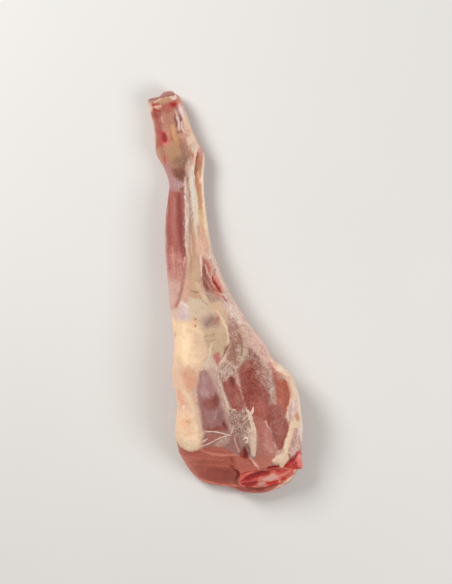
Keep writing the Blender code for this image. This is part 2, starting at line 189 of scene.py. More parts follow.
HOCK = [
    Area(LEAN, (188, 138, 116), 4, 1, 0, [(-40, 240), (30, 240), (40, 128), (-40, 128)]),
    Area(LEAN, (174, 98, 88), 3, 0.9, 0, [
        (-23, 216), (-15, 214), (-15, 196), (-19, 178), (-26, 178), (-22, 198),
    ]),
    Area(LEAN, (172, 88, 82), 1.8, 0.6, 0, spot(-22, 196, 2, 4)),
    # Pale fell along the left edge, lightened as a painted rim light.
    Line(SILVER, (218, 182, 168), 1.2, 0.9, 0.2, 2, [
        (-25, 222), (-24.4, 206), (-25.4, 190), (-28, 176), (-26, 162),
    ]),
    Area(LEAN, (160, 84, 70), 1.8, 0.9, 0, [(-21, 217), (-13, 216), (-11, 212), (-15, 208), (-21, 210)]),
    Area(LEAN, (192, 132, 108), 3, 0.85, 0, [(-13, 212), (-3, 214), (-2, 192), (-10, 190), (-14, 198)]),
    Line(SINEW, (222, 162, 146), 1, 0.8, 0.2, 1.5, [(-13, 209), (-14, 203)]),
    Area(LEAN, (182, 98, 84), 2.4, 0.9, 0, [(-14, 223), (-4, 222), (6, 224), (8, 218), (2, 214), (-10, 213)]),
    Area(BLOOD, (174, 62, 60), 1.8, 0.85, 0, spot(1.2, 219, 3.6, 2.8)),
    Area(BLOOD, (158, 46, 50), 1, 0.7, -0.2, spot(2, 218.6, 1.4, 1.2)),
    Area(FAT, (196, 150, 118), 1.6, 0.9, 0, [(-14, 226), (-5, 228), (0, 227), (-1, 223), (-12, 222)]),
    Line(DRY, (178, 132, 126), 1.6, 0.9, 0, 3.4, [(-24, 229.6), (-14, 229.6), (-10, 231)]),
    Line(FAT, (226, 192, 176), 1.2, 1, 0.5, (3, 3.6, 2.4), [(-25.4, 228), (-24, 224), (-23, 219)]),
    Line(SINEW, (232, 194, 168), 1, 1, 0.7, (1.4, 2.4, 2, 2.2, 1.6), [
        (-19, 225), (-14.6, 226.4), (-9, 228.4), (-3, 229.8), (2, 229),
    ]),
    Area(SINEW, (236, 206, 188), 1.2, 1, 0.5, [(0, 228.6), (4, 228.2), (7, 229), (7, 224.6), (3, 223.8)]),
    Line(BLOOD, (172, 68, 56), 1, 0.95, -0.5, (2, 2.6, 1.6), [(-20, 224), (-16.6, 222.4), (-13, 222.6)]),
    Line(SINEW, (228, 170, 152), 1, 1, 1.3, (2.6, 3.8, 3), [(-18.6, 220.6), (-15, 219.6), (-12, 220)]),
    Line(SINEW, (224, 160, 142), 0.9, 0.9, 0.6, 1.6, [(-16.4, 218.4), (-14.4, 217)]),
    Line(BLOOD, (168, 58, 46), 1, 0.95, -0.5, 2.4, [(-20, 218.4), (-17, 216.4), (-15, 215)]),
    Line(LEAN, (170, 120, 124), 1.4, 0.8, 0, (2, 3, 2.4), [(5, 216), (5.6, 210), (5, 204)]),
    Line(LEAN, (130, 72, 74), 1.1, 0.95, -0.5, (1.4, 2.6, 2.2, 1.4), [
        (1.6, 207), (1.2, 203), (1, 199.6), (0.6, 195),
    ]),
    Line(LEAN, (128, 84, 84), 1.1, 0.9, -0.5, (1.2, 2.4, 2.4, 1.2), [
        (6.4, 207), (7, 202), (6, 199), (5.4, 193),
    ]),
    Line(SINEW, (228, 190, 172), 0.9, 1, 0.9, (1, 1.6, 1.4), [(3, 213), (3.6, 207), (3, 203)]),
    # Near-white streaks on the raised tendon strands: painted glints.
    Line(SINEW, (246, 222, 212), 0.8, 1, 1.0, (1.2, 1.8, 2, 1.4), [
        (4, 203), (4.2, 198.6), (3.2, 194), (3.6, 190.6),
    ]),
    Line(SINEW, (240, 212, 198), 0.8, 1, 0.8, (1, 1.6, 1.8, 1), [(7, 199), (6.2, 194), (7, 190), (8, 186)]),
    Line(LEAN, (146, 98, 88), 0.9, 0.9, -0.3, 1.4, [(0, 188.6), (3, 189), (5.4, 187.6)]),
    Area(LEAN, (214, 162, 142), 2, 0.8, 0, spot(5.4, 184, 3.6, 2.6)),
    # Lavender-white membrane, its paleness partly a painted sheen.
    Area(SINEW, (230, 196, 196), 2, 1, 0.3, [
        (6.6, 218), (10, 219), (12, 211), (12.6, 203), (9, 201), (7.2, 208),
    ]),
    # Darker tone along the right edge: painted edge shade.
    Line(FAT, (192, 158, 148), 2.4, 0.8, 0, 3, [(12.6, 216), (14.4, 206), (14.6, 194)]),
    Area(BLOOD, (214, 132, 130), 1.6, 0.8, 0, spot(7, 221, 1.8, 1.8)),
    # Near-white streak on the lavender membrane: painted highlight.
    Line(SINEW, (244, 222, 222), 1.2, 0.8, 0.2, (1, 2.2, 1.2), [(8.6, 215), (9.4, 210), (9, 205)]),
    Area(FAT, (230, 198, 174), 2, 1, 0.2, [
        (10, 204), (16, 204), (16, 192), (20, 176), (13, 181), (9, 188), (8.6, 197),
    ]),
    Area(LEAN, (214, 158, 142), 2, 0.7, 0, spot(13, 187, 2.4, 2.6)),
    Area(FAT, (216, 158, 124), 2.2, 0.9, 0.3, [
        (-5, 198), (-1, 196), (0, 186), (-1, 177), (-5, 178), (-6.4, 188),
    ]),
    Area(FAT, (200, 138, 100), 2, 0.9, 0, [(-10, 193), (-7, 192), (-5.4, 181), (-7, 176), (-10, 181)]),
    Line(FAT, (178, 112, 76), 1.2, 0.9, -0.3, (1, 2.2, 2.4, 1), [
        (-6.8, 191), (-7, 184), (-5.4, 178.6), (-1.4, 172),
    ]),
    Area(FAT, (190, 147, 114), 4, 0.9, 0, [
        (-16, 178), (-4, 178), (0, 170), (-3, 160), (-14, 160), (-18, 168),
    ]),
    Area(FAT, (198, 146, 110), 2.4, 0.8, 0, [(-7, 180), (0, 180), (1, 174), (-2, 172), (-6, 175)]),
    Area(LEAN, (172, 128, 108), 2.2, 0.9, 0.5, [
        (0, 178), (4, 177), (8, 173), (9, 165), (6, 159), (1, 162), (0, 170),
    ]),
    Line(LEAN, (140, 106, 84), 0.9, 0.7, -0.3, 1, [(-0.6, 175), (0.2, 169), (1.2, 163)]),
    Area(LEAN, (150, 114, 94), 4, 0.85, 0, [(-8, 162), (6, 161), (7, 152), (2, 148), (-6, 150), (-10, 156)]),
    Area(LEAN, (190, 136, 124), 2.6, 0.7, 0, spot(-21, 158, 3.4, 8)),
    Line(BLOOD, (196, 86, 80), 1.4, 0.9, 0, (1, 2.6, 2.2, 1), [
        (-19.6, 167), (-19.6, 162), (-20.4, 158), (-20, 152),
    ]),
    Area(SILVER, (180, 132, 127), 3, 0.95, 0, [
        (-24, 158), (-15, 156), (-12, 148), (-13, 138), (-10, 127), (-28, 124), (-22, 140),
    ]),
    Area(LEAN, (137, 91, 78), 2.6, 0.95, 0, [
        (-14, 150), (-6, 150), (0, 148), (1, 138), (-3, 130), (-8, 134), (-13, 142),
    ]),
    Area(LEAN, (122, 78, 64), 2.4, 0.7, 0, spot(-6, 142.6, 4, 3)),
    Area(SILVER, (182, 137, 136), 2.4, 0.75, 0, [(-17, 142), (-10, 138), (-5, 132), (-8, 127), (-17, 128)]),
    Line(SILVER, (206, 166, 164), 0.9, 0.7, 0.1, 1, [(-16, 140), (-13, 137), (-14, 132)]),
    Line(SILVER, (202, 160, 158), 0.9, 0.7, 0.1, 1, [(-8, 134), (-5, 131)]),
    Area(LEAN, (124, 74, 62), 1.4, 0.85, -0.2, spot(-8, 126, 3, 1.7, -20)),
    Area(BLOOD, (200, 76, 72), 3, 0.9, 0, [(-20, 193), (-13, 192), (-11, 183), (-14, 177), (-19, 178)]),
    Area(CLOT, (144, 26, 28), 1.8, 1, -0.4, spot(-15.6, 186, 2.6, 5, 4)),
    Area(CLOT, (122, 24, 26), 1, 0.9, -0.3, spot(-16, 188, 1.1, 2)),
]

HEEL = [
    Area(LEAN, (200, 150, 142), 2, 0.9, 0, [(17, 170), (22, 168), (24, 158), (21, 152), (17, 156)]),
    Area(LEAN, (190, 118, 96), 2, 0.8, 0, spot(18, 154, 2.4, 4)),
    Line(SINEW, (238, 214, 196), 1.2, 1, 0.2, (2, 3.4, 3, 3), [
        (24.4, 162), (22.4, 151), (18.4, 140), (16, 127),
    ]),
    Line(BLOOD, (176, 88, 82), 0.9, 0.8, -0.2, 1, [(18.6, 167), (17, 160)]),
    Area(FAT, (228, 196, 176), 2, 1, 0.2, [
        (8, 181), (15, 181), (20, 172), (19, 164), (15, 159), (10.6, 164), (8.6, 172),
    ]),
    Area(FAT, (208, 190, 172), 2, 0.7, 0, spot(13.6, 168, 2.6, 4)),
    Line(LEAN, (176, 124, 110), 1, 0.7, 0, 1.2, [(11, 172), (10.4, 165), (12, 160)]),
    Area(DRY, (208, 166, 152), 1.8, 1, 0, [
        (4, 155), (9, 159), (12, 155), (9, 147), (6, 138), (1, 138), (1, 148),
    ]),
    Line(SINEW, (232, 200, 184), 1, 0.8, 0.3, 1.4, [(6, 155), (5.4, 149), (3, 142)]),
    Line(SINEW, (232, 188, 170), 1, 1, 0.8, (2.4, 3, 3.4, 4.4), [
        (17.4, 166), (14.4, 159), (11.4, 152), (9, 146),
    ]),
    Line(SINEW, (220, 206, 190), 1.3, 1, 0.6, (4, 6.4, 7, 7.4, 7), [
        (8.4, 148), (6.2, 140), (4, 128), (3, 116), (2, 104),
    ]),
    Line(SINEW, (232, 222, 208), 1.2, 0.6, 0, 2, [(4.6, 134), (2.2, 122), (1.4, 110)]),
    Line(SINEW, (226, 208, 188), 1.4, 1, 0.3, (7, 6.4, 6), [(2, 106), (1, 96), (-0.6, 86)]),
    # Dark line deep in the groove between cord and Achilles tendon: painted shadow.
    Line(LEAN, (160, 98, 76), 0.9, 0.95, -0.9, (1, 1.5, 1.6, 1.2), [
        (17.6, 162), (14, 153), (10.8, 146), (9.6, 138),
    ]),
    Line(FAT, (188, 126, 100), 1.3, 1, -0.6, (2, 4, 4.4, 4.2), [
        (18, 160), (15, 152), (12.8, 143), (11.4, 133),
    ]),
    Line(FAT, (208, 150, 116), 1.4, 1, -0.4, (4.2, 4.4, 4.6), [(11.6, 136), (10, 126), (9, 114)]),
    Line(FAT, (216, 166, 126), 1.4, 1, -0.3, (4.6, 4.8, 4), [(9.2, 118), (8.8, 106), (8.2, 96)]),
    Line(FAT, (232, 188, 140), 1.8, 0.95, -0.1, (4, 4.6, 2.6), [(7, 98), (6, 90), (5, 83)]),
    # Thin light line left of the Achilles tendon: painted highlight.
    Line(SINEW, (240, 202, 172), 0.9, 0.9, 0.2, 1.3, [(13.8, 141), (13, 135), (12.6, 129)]),
    Line(SINEW, (240, 220, 200), 1.2, 1, 0.3, (2.6, 2.6, 3), [(15, 132), (14, 118), (13, 102)]),
    Line(FAT, (236, 212, 182), 1.6, 1, 0.1, (4, 5, 6, 5), [(12, 104), (11, 92), (9, 80), (9, 70)]),
    Line(SINEW, (232, 202, 180), 1.8, 0.9, 0, (3, 3.4, 3), [(9.4, 72), (9, 60), (10, 48)]),
    Line(SINEW, (208, 184, 160), 0.9, 0.6, -0.2, 1, [(7.2, 130), (5.8, 118), (5, 104)]),
]

SHANK = [
    Area(LEAN, (171, 98, 89), 1.8, 1, 0, [
        (-32, 124), (-14, 125), (-5, 123), (-7, 110), (-10, 98), (-14, 82), (-18, 64), (-21, 46), (-50,
                44), (-44, 84),
    ]),
    Area(LEAN, (196, 134, 122), 6, 0.9, 0, [(-50, 60), (-20, 52), (-25, 34), (-32, 18), (-42, 2), (-60, 0)]),
    Area(SILVER, (211, 176, 163), 5, 0.85, 0, [(-50, 30), (-29, 26), (-36, 10), (-46, 0), (-60, 0)]),
    Line(LEAN, (184, 112, 100), 2.4, 0.8, 0, (4, 5, 5, 4), [(-20, 122), (-23, 104), (-27, 84), (-29, 64)]),
    Line(LEAN, (168, 94, 86), 2, 0.7, 0, 4, [(-26, 114), (-31, 92), (-34, 76)]),
    # Mauve-white silverskin along the left edge, lightened as a painted rim light.
    Line(SILVER, (196, 156, 154), 1.4, 0.9, 0, 2.6, [
        (-25, 124), (-31, 104), (-36, 86), (-39, 66), (-42, 48), (-45, 28),
    ]),
    Line(LEAN, (178, 106, 104), 2, 0.7, 0, 3, [(-37, 70), (-39, 56), (-40, 44)]),
    Line(LEAN, (214, 160, 146), 2, 0.7, 0, 3, [(-32, 66), (-34, 52), (-36, 38)]),
    Line(LEAN, (206, 150, 136), 1.6, 0.6, 0, 2, [(-26, 60), (-28, 48)]),
    Line(LEAN, (143, 70, 62), 2.4, 0.95, -0.4, (4, 6, 6.4, 5, 3), [
        (-12, 122), (-14.6, 106), (-17.4, 90), (-19.6, 74), (-20.6, 56),
    ]),
    Line(LEAN, (160, 88, 84), 2, 0.7, -0.2, 3.4, [(-20.6, 64), (-22, 52), (-25, 40)]),
    Area(FAT, (203, 163, 136), 1.8, 1, 0, [
        (-5.6, 92), (-5, 78), (-4, 64), (-5, 46), (-7, 32), (-10, 16), (-12, 6), (-24, 8), (-27, 24), (-22,
                40),
        (-18, 52), (-14.4, 66), (-10.4, 80),
    ]),
    Area(FAT, (206, 170, 138), 4, 0.6, 0, spot(-14, 26, 4, 12, -10)),
    Line(DRY, (224, 200, 188), 1, 1, 0.6, (2, 4.2, 5, 4.4, 3.8, 3.2, 2), [
        (-1.8, 138), (-3.6, 124), (-5.6, 112), (-7.6, 100), (-11, 86), (-14, 72), (-17, 56),
    ]),
    # Near-white line along the white crest: painted glint.
    Line(SINEW, (238, 218, 208), 0.8, 0.8, 0.4, 1.2, [(-6, 118), (-8.4, 101), (-12, 87), (-14.6, 73)]),
    Line(LEAN, (176, 128, 114), 0.8, 0.8, -0.3, 0.9, [(-4.6, 120), (-7, 106), (-8.6, 96)]),
    Line(LEAN, (180, 134, 120), 0.8, 0.7, -0.3, 0.9, [(-11, 84), (-13, 76), (-15, 66)]),
    Line(SINEW, (224, 190, 168), 0.9, 0.8, 0.3, 1.6, [(-15, 58), (-17, 49), (-18.6, 42)]),
    Line(SINEW, (222, 184, 160), 1, 0.7, 0.2, (0.8, 1.6, 0.8), [(-8.6, 82), (-10.4, 68), (-12.4, 54)]),
    Line(SINEW, (178, 136, 108), 1, 0.7, -0.1, (0.8, 1.4, 0.8), [(-7.2, 80), (-8, 66), (-9.6, 50)]),
    Line(SINEW, (176, 134, 108), 1, 0.6, -0.1, (0.8, 1.6, 0.8), [(-12.6, 60), (-15, 46), (-17, 34)]),
    Line(FAT, (218, 182, 154), 1.2, 0.6, 0.1, (0.8, 1.8, 0.8), [(-7.6, 58), (-9.4, 42), (-11, 30)]),
    Line(SINEW, (186, 154, 136), 0.8, 0.7, -0.3, 1, [(-2.2, 126), (-2.6, 114), (-4, 104)]),
    Line(LEAN, (178, 142, 120), 1.1, 0.8, -0.2, (1, 2, 2.4), [(-5, 97), (-7, 87), (-9, 78)]),
    Line(SINEW, (230, 208, 188), 1, 0.9, 0.3, (1.4, 3, 2.6, 1.4), [
        (-2, 94), (-2.4, 84), (-2.8, 76), (-3.4, 66),
    ]),
    Area(FAT, (228, 184, 162), 2.6, 0.9, 0, [(-4, 72), (1, 72), (3, 60), (2, 48), (-5, 50), (-6, 60)]),
    Area(FAT, (220, 176, 150), 2.2, 0.8, 0, [(1, 80), (5, 78), (7, 66), (6, 56), (2, 62)]),
    Line(FAT, (244, 172, 132), 0.8, 0.9, 0, 1.1, [(3.2, 84), (5, 79.6), (7.6, 75)]),
    Line(FAT, (200, 166, 134), 1, 0.7, -0.2, 1.6, [(1, 86), (2, 80)]),
    Line(DRY, (218, 166, 156), 1, 0.9, 0.4, 2, [(-20, 52), (-22.6, 46), (-24, 40)]),
    Line(DRY, (210, 160, 150), 0.8, 0.8, 0.3, 1.4, [(-11.4, 97), (-12.6, 93)]),
    Line(DRY, (206, 152, 142), 0.8, 0.8, 0.3, 1.2, [(-14, 91), (-14.8, 88)]),
    Line(DRY, (212, 160, 150), 0.8, 0.8, 0.3, 1.4, [(-16.6, 74), (-17.4, 71)]),
    Line(LEAN, (172, 116, 104), 1.8, 0.9, -0.5, (1.6, 2.6, 3, 2.4), [
        (-22, 44), (-27, 30), (-33, 16), (-41, 1),
    ]),
    Line(FAT, (216, 164, 146), 2.6, 0.8, 0.2, 6, [(-25, 26), (-28, 12), (-30, 6)]),
    Line(SINEW, (232, 200, 166), 0.8, 0.8, 0.3, 1.1, [(-15.6, 22), (-13, 12), (-9, 2)]),
    Line(SINEW, (234, 202, 170), 0.8, 0.8, 0.3, 1.1, [(-13, 22), (-10, 11), (-6.6, 4)]),
    # Tan-brown band: painted shadow.
    Line(LEAN, (152, 112, 86), 1, 0.8, -0.2, (1, 2.4, 1), [(-21, 15.4), (-17.6, 13), (-14, 12)]),
]

CALF = [
    Area(DRY, (232, 202, 186), 2, 0.95, 0, [(4, 52), (10, 54), (16, 30), (22, 4), (14, 8), (9, 30), (5, 44)]),
    Area(LEAN, (152, 92, 82), 1.1, 1, -0.9, [
        (-1, 50), (0.6, 44), (0.4, 34), (-1, 24), (0, 14), (-3, 11), (-6.4, 14), (-6.6, 24), (-4.6,
                34), (-2.4, 42),
    ]),
    Area(LEAN, (192, 116, 102), 1.3, 1, -0.6, [
        (0.4, 45), (3, 44), (5.2, 37), (4.8, 30), (2.6, 28), (0.8, 33),
    ]),
    Area(LEAN, (168, 106, 94), 1.3, 1, -0.8, [
        (-1, 28), (2.6, 28), (5.6, 22), (8, 11), (7, 7), (0, 10), (-2, 16),
    ]),
    Line(LEAN, (178, 126, 114), 1.2, 0.8, -0.3, 3, [(-4, 12), (0, 9), (5, 9)]),
    Line(SINEW, (244, 208, 194), 0.8, 1, 0.5, (1.2, 2, 1.8, 1), [
        (-3.6, 50), (-4.8, 42), (-6, 34), (-6.6, 29),
    ]),
    Line(SINEW, (236, 196, 182), 0.8, 0.9, 0.4, 1.3, [(-1.4, 52), (-2, 46), (-2.6, 40)]),
    Line(DRY, (224, 176, 162), 0.8, 0.95, 0.4, (1, 1.6, 2, 1.6, 1), [
        (0, 40), (1.2, 32), (3, 25), (5, 17), (7, 12),
    ]),
    Line(SINEW, (206, 148, 136), 0.7, 0.8, 0.3, 1, [(-4, 27), (-1.6, 19), (1, 12)]),
    Line(SINEW, (202, 144, 132), 0.7, 0.8, 0.3, 1, [(0.4, 28), (2, 20), (4.6, 13)]),
    Line(DRY, (226, 186, 170), 0.9, 0.8, 0.2, 1.4, [(3.4, 48), (6, 40), (9, 32)]),
    Line(LEAN, (176, 144, 132), 1, 0.7, -0.2, 1.4, [(5.6, 44), (8, 36)]),
    Area(LEAN, (200, 132, 118), 1.7, 0.95, -0.4, [
        (6.4, 30), (9, 27), (11.6, 20), (13, 11), (11.6, 6), (9, 7), (6.6, 14), (5.4, 22),
    ]),
    Line(CLOT, (146, 44, 34), 1.2, 1, -0.8, (1.2, 2.8, 3, 2.4, 1), [
        (5.2, 25), (6.4, 20), (8, 14.4), (9.8, 9.4), (11, 6),
    ]),
    # Light streak on the slit's edge: painted highlight.
    Line(SINEW, (222, 154, 138), 1.2, 0.8, 0.2, 1.8, [(8.4, 26), (10, 20), (11.4, 14)]),
    Line(LEAN, (160, 84, 74), 0.9, 0.9, -0.3, 1.3, [(10, 3), (12, -1), (14, -4)]),
    Area(LEAN, (200, 134, 114), 1.6, 0.9, 0, [(3, 11), (7, 8), (10, 3), (8, 0), (4, 5)]),
    Area(CLOT, (126, 86, 98), 0.9, 0.7, -0.1, spot(8.6, 32, 1.1, 1.5)),
]

KNEE = [
    Area(FAT, (210, 180, 152), 5, 1, 0, [
        (-56, 20), (-26, 24), (-12, 8), (8, 2), (14, -30), (6, -60), (-12, -80), (-40, -70), (-70,
                -80), (-60, -20),
    ]),
    # Cream-pink edge on the left: pale membrane, lightened as a painted rim light.
    Line(SILVER, (220, 190, 178), 2.4, 0.9, 0, 6, [(-43, 36), (-45, 18), (-47, 2), (-49, -16)]),
    Area(SILVER, (220, 192, 186), 5, 0.95, 0.2, [
        (-41, 1), (-33, 2), (-27, -4), (-28, -13), (-35, -17), (-43, -13),
    ]),
    # Near-white arc on the knee's bulge: painted highlight.
    Line(SILVER, (246, 228, 218), 1.8, 0.9, 0.5, (1.4, 3, 3, 1.4), [
        (-39, 2), (-35, 3.4), (-31.4, 1.4), (-28, -3),
    ]),
    Line(SILVER, (208, 184, 184), 3, 0.6, 0, 5, [(-38, -10), (-31, -14)]),
    Area(FAT, (216, 192, 166), 3, 0.9, 0, [(-28, 8), (-13, 12), (-7, 2), (-2, -10), (-12, -19), (-25, -14)]),
    Line(LEAN, (152, 118, 94), 0.8, 0.7, 0, 0.9, [(-13, 5), (-10.4, 0), (-7.6, -3)]),
    Line(LEAN, (164, 132, 108), 0.8, 0.6, 0, 0.9, [(-15, -5), (-12, -7)]),
    Area(LEAN, (184, 150, 136), 1.8, 0.95, -0.4, [
        (-5, 12.6), (0, 12.6), (6, 8), (9, 2), (7, -2.4), (0, -3), (-5, 2),
    ]),
    Area(FAT, (216, 182, 152), 2.4, 0.9, 0, [(-4, -3), (8, -3), (10, -14), (3, -17), (-4, -11)]),
    Area(DRY, (212, 180, 170), 2, 1, 0, [(10, 4), (20, 6), (26, -12), (18, -16), (12, -14), (9, -6)]),
    Area(DRY, (228, 203, 189), 2.4, 1, 0, [(14, -12), (26, -10), (38, -36), (30, -42), (20, -32), (16, -22)]),
    # Grey-mauve membrane patch in a shallow hollow, its tone darkened with painted shade.
    Area(SILVER, (186, 156, 142), 4, 0.9, 0, [
        (-17, -18), (-8, -14), (1, -17), (2, -28), (-6, -31), (-16, -28),
    ]),
    Area(LEAN, (166, 132, 118), 2.4, 0.9, -0.2, [
        (-13, -21), (-7, -18), (-2, -19), (-2, -25), (-8, -27), (-14, -25),
    ]),
    Line(LEAN, (150, 124, 116), 1, 0.6, 0, 1.4, [(-15, -24.4), (-11, -24.6), (-8, -23)]),
    Area(LEAN, (184, 124, 98), 1.6, 0.8, -0.2, [
        (0, -17), (3, -17), (3, -23), (0, -28), (-3, -26), (-1, -22),
    ]),
    Line(SINEW, (222, 184, 160), 0.8, 0.8, 0.3, 1, [(3.6, -14), (1.4, -17), (-1, -19)]),
    Area(FAT, (200, 170, 140), 4, 0.95, 0, [
        (-18, -32), (-2, -32), (8, -40), (4, -54), (-6, -60), (-14, -56), (-19, -46),
    ]),
    Line(LEAN, (154, 134, 106), 0.9, 0.7, -0.2, 0.9, [(-19, -37), (-12, -38), (-6, -37)]),
    Line(LEAN, (154, 132, 104), 0.9, 0.7, -0.2, 0.9, [(-18, -42), (-12, -44), (-6, -43)]),
    Area(FAT, (241, 207, 170), 5, 1, 0.8, [
        (-60, -16), (-34, -18), (-23, -20), (-19, -32), (-20, -48), (-24, -62), (-32, -68), (-46, -66),
        (-70, -70), (-64, -40),
    ]),
    Line(FAT, (254, 224, 184), 3.4, 0.9, 0.5, (5, 9, 9, 6), [(-37, -22), (-40, -38), (-42, -50), (-44, -62)]),
    Area(FAT, (226, 190, 162), 3, 0.8, 0, [(-29, -34), (-21, -34), (-20, -50), (-24, -62), (-30, -58)]),
    Area(FAT, (228, 190, 162), 4, 0.7, 0, [(-66, -52), (-50, -54), (-46, -70), (-66, -76)]),
    Line(FAT, (216, 184, 168), 2, 0.7, 0, 3, [(-51, -22), (-52, -38), (-56, -52)]),
    Area(FAT, (232, 180, 146), 2.2, 0.7, 0, spot(-25.6, -21, 2.4, 5)),
    Area(LEAN, (140, 86, 64), 0.7, 0.95, -0.3, spot(-23.4, -17, 0.8, 1.2)),
    Area(LEAN, (140, 86, 64), 0.7, 0.95, -0.3, spot(-25, -24.2, 1, 1.4)),
    Line(SINEW, (240, 210, 178), 0.9, 0.95, 0.6, (1, 2, 2.2, 1.6, 1), [
        (2.4, -13), (6, -24), (8.6, -36), (7.6, -46), (3, -54),
    ]),
    Line(SINEW, (240, 216, 196), 0.9, 0.9, 0.4, (0.8, 1.6, 1.6, 0.8), [
        (-11, -46), (-13.6, -51), (-16, -58), (-17, -64),
    ]),
    Area(DRY, (170, 121, 106), 1.8, 0.95, 0, [
        (9.6, -32), (13, -23), (18, -28), (22, -36), (22, -50), (18, -58), (10, -54),
    ]),
    Area(LEAN, (160, 116, 100), 2.4, 0.9, 0, [
        (2, -54), (12, -50), (22, -54), (20, -72), (10, -76), (2, -68),
    ]),
    Area(DRY, (186, 146, 128), 2.4, 0.8, 0, spot(16, -29, 4, 5)),
    Area(DRY, (198, 158, 142), 2.4, 0.8, 0, spot(28, -59, 5, 7)),
    Area(DRY, (190, 162, 138), 2.6, 0.85, 0, [
        (16, -56), (25, -54), (27, -66), (20, -80), (14, -78), (14, -66),
    ]),
    Line(LEAN, (146, 102, 86), 0.8, 0.8, -0.1, 1, [(11.6, -55), (11.4, -61), (11, -67)]),
    Area(LEAN, (190, 124, 110), 1.4, 1, -0.2, [
        (-13.6, -60), (-8, -58), (-4.6, -60), (-5.6, -68), (-10, -77), (-13, -70),
    ]),
    Area(LEAN, (184, 106, 96), 1.4, 0.7, -0.2, spot(-8.4, -64, 2, 3.6)),
    Line(LEAN, (134, 94, 78), 1, 0.9, -0.3, (1, 2.2, 1), [(4, -55), (0, -61), (-4, -66)]),
    Line(SINEW, (226, 196, 180), 0.8, 0.95, 0.4, (0.8, 1.4, 1.2), [(8.6, -53), (0.6, -62), (-8, -71.6)]),
    Line(SINEW, (222, 190, 174), 0.8, 0.95, 0.4, (0.8, 1.3, 1), [(6, -60), (-1, -66.6), (-10.6, -76.6)]),
    Area(DRY, (212, 174, 156), 2.4, 0.95, 0, [
        (21, -34), (32, -36), (42, -50), (36, -62), (28, -56), (25, -48),
    ]),
    Area(DRY, (220, 178, 163), 2.4, 0.95, 0, [
        (33, -48), (42, -50), (52, -72), (52, -88), (42, -82), (32, -66), (29, -58),
    ]),
    Line(SILVER, (226, 196, 184), 2, 0.8, 0, 4, [(38, -46), (45, -60), (50, -74)]),
    Line(LEAN, (158, 116, 100), 1.8, 0.9, -0.2, (2, 3.4, 2.6), [(20.6, -42), (21, -53), (18, -65)]),
    Area(DRY, (152, 102, 88), 2.4, 0.85, 0, [(22, -68), (29, -62), (36, -72), (34, -84), (25, -82)]),
]

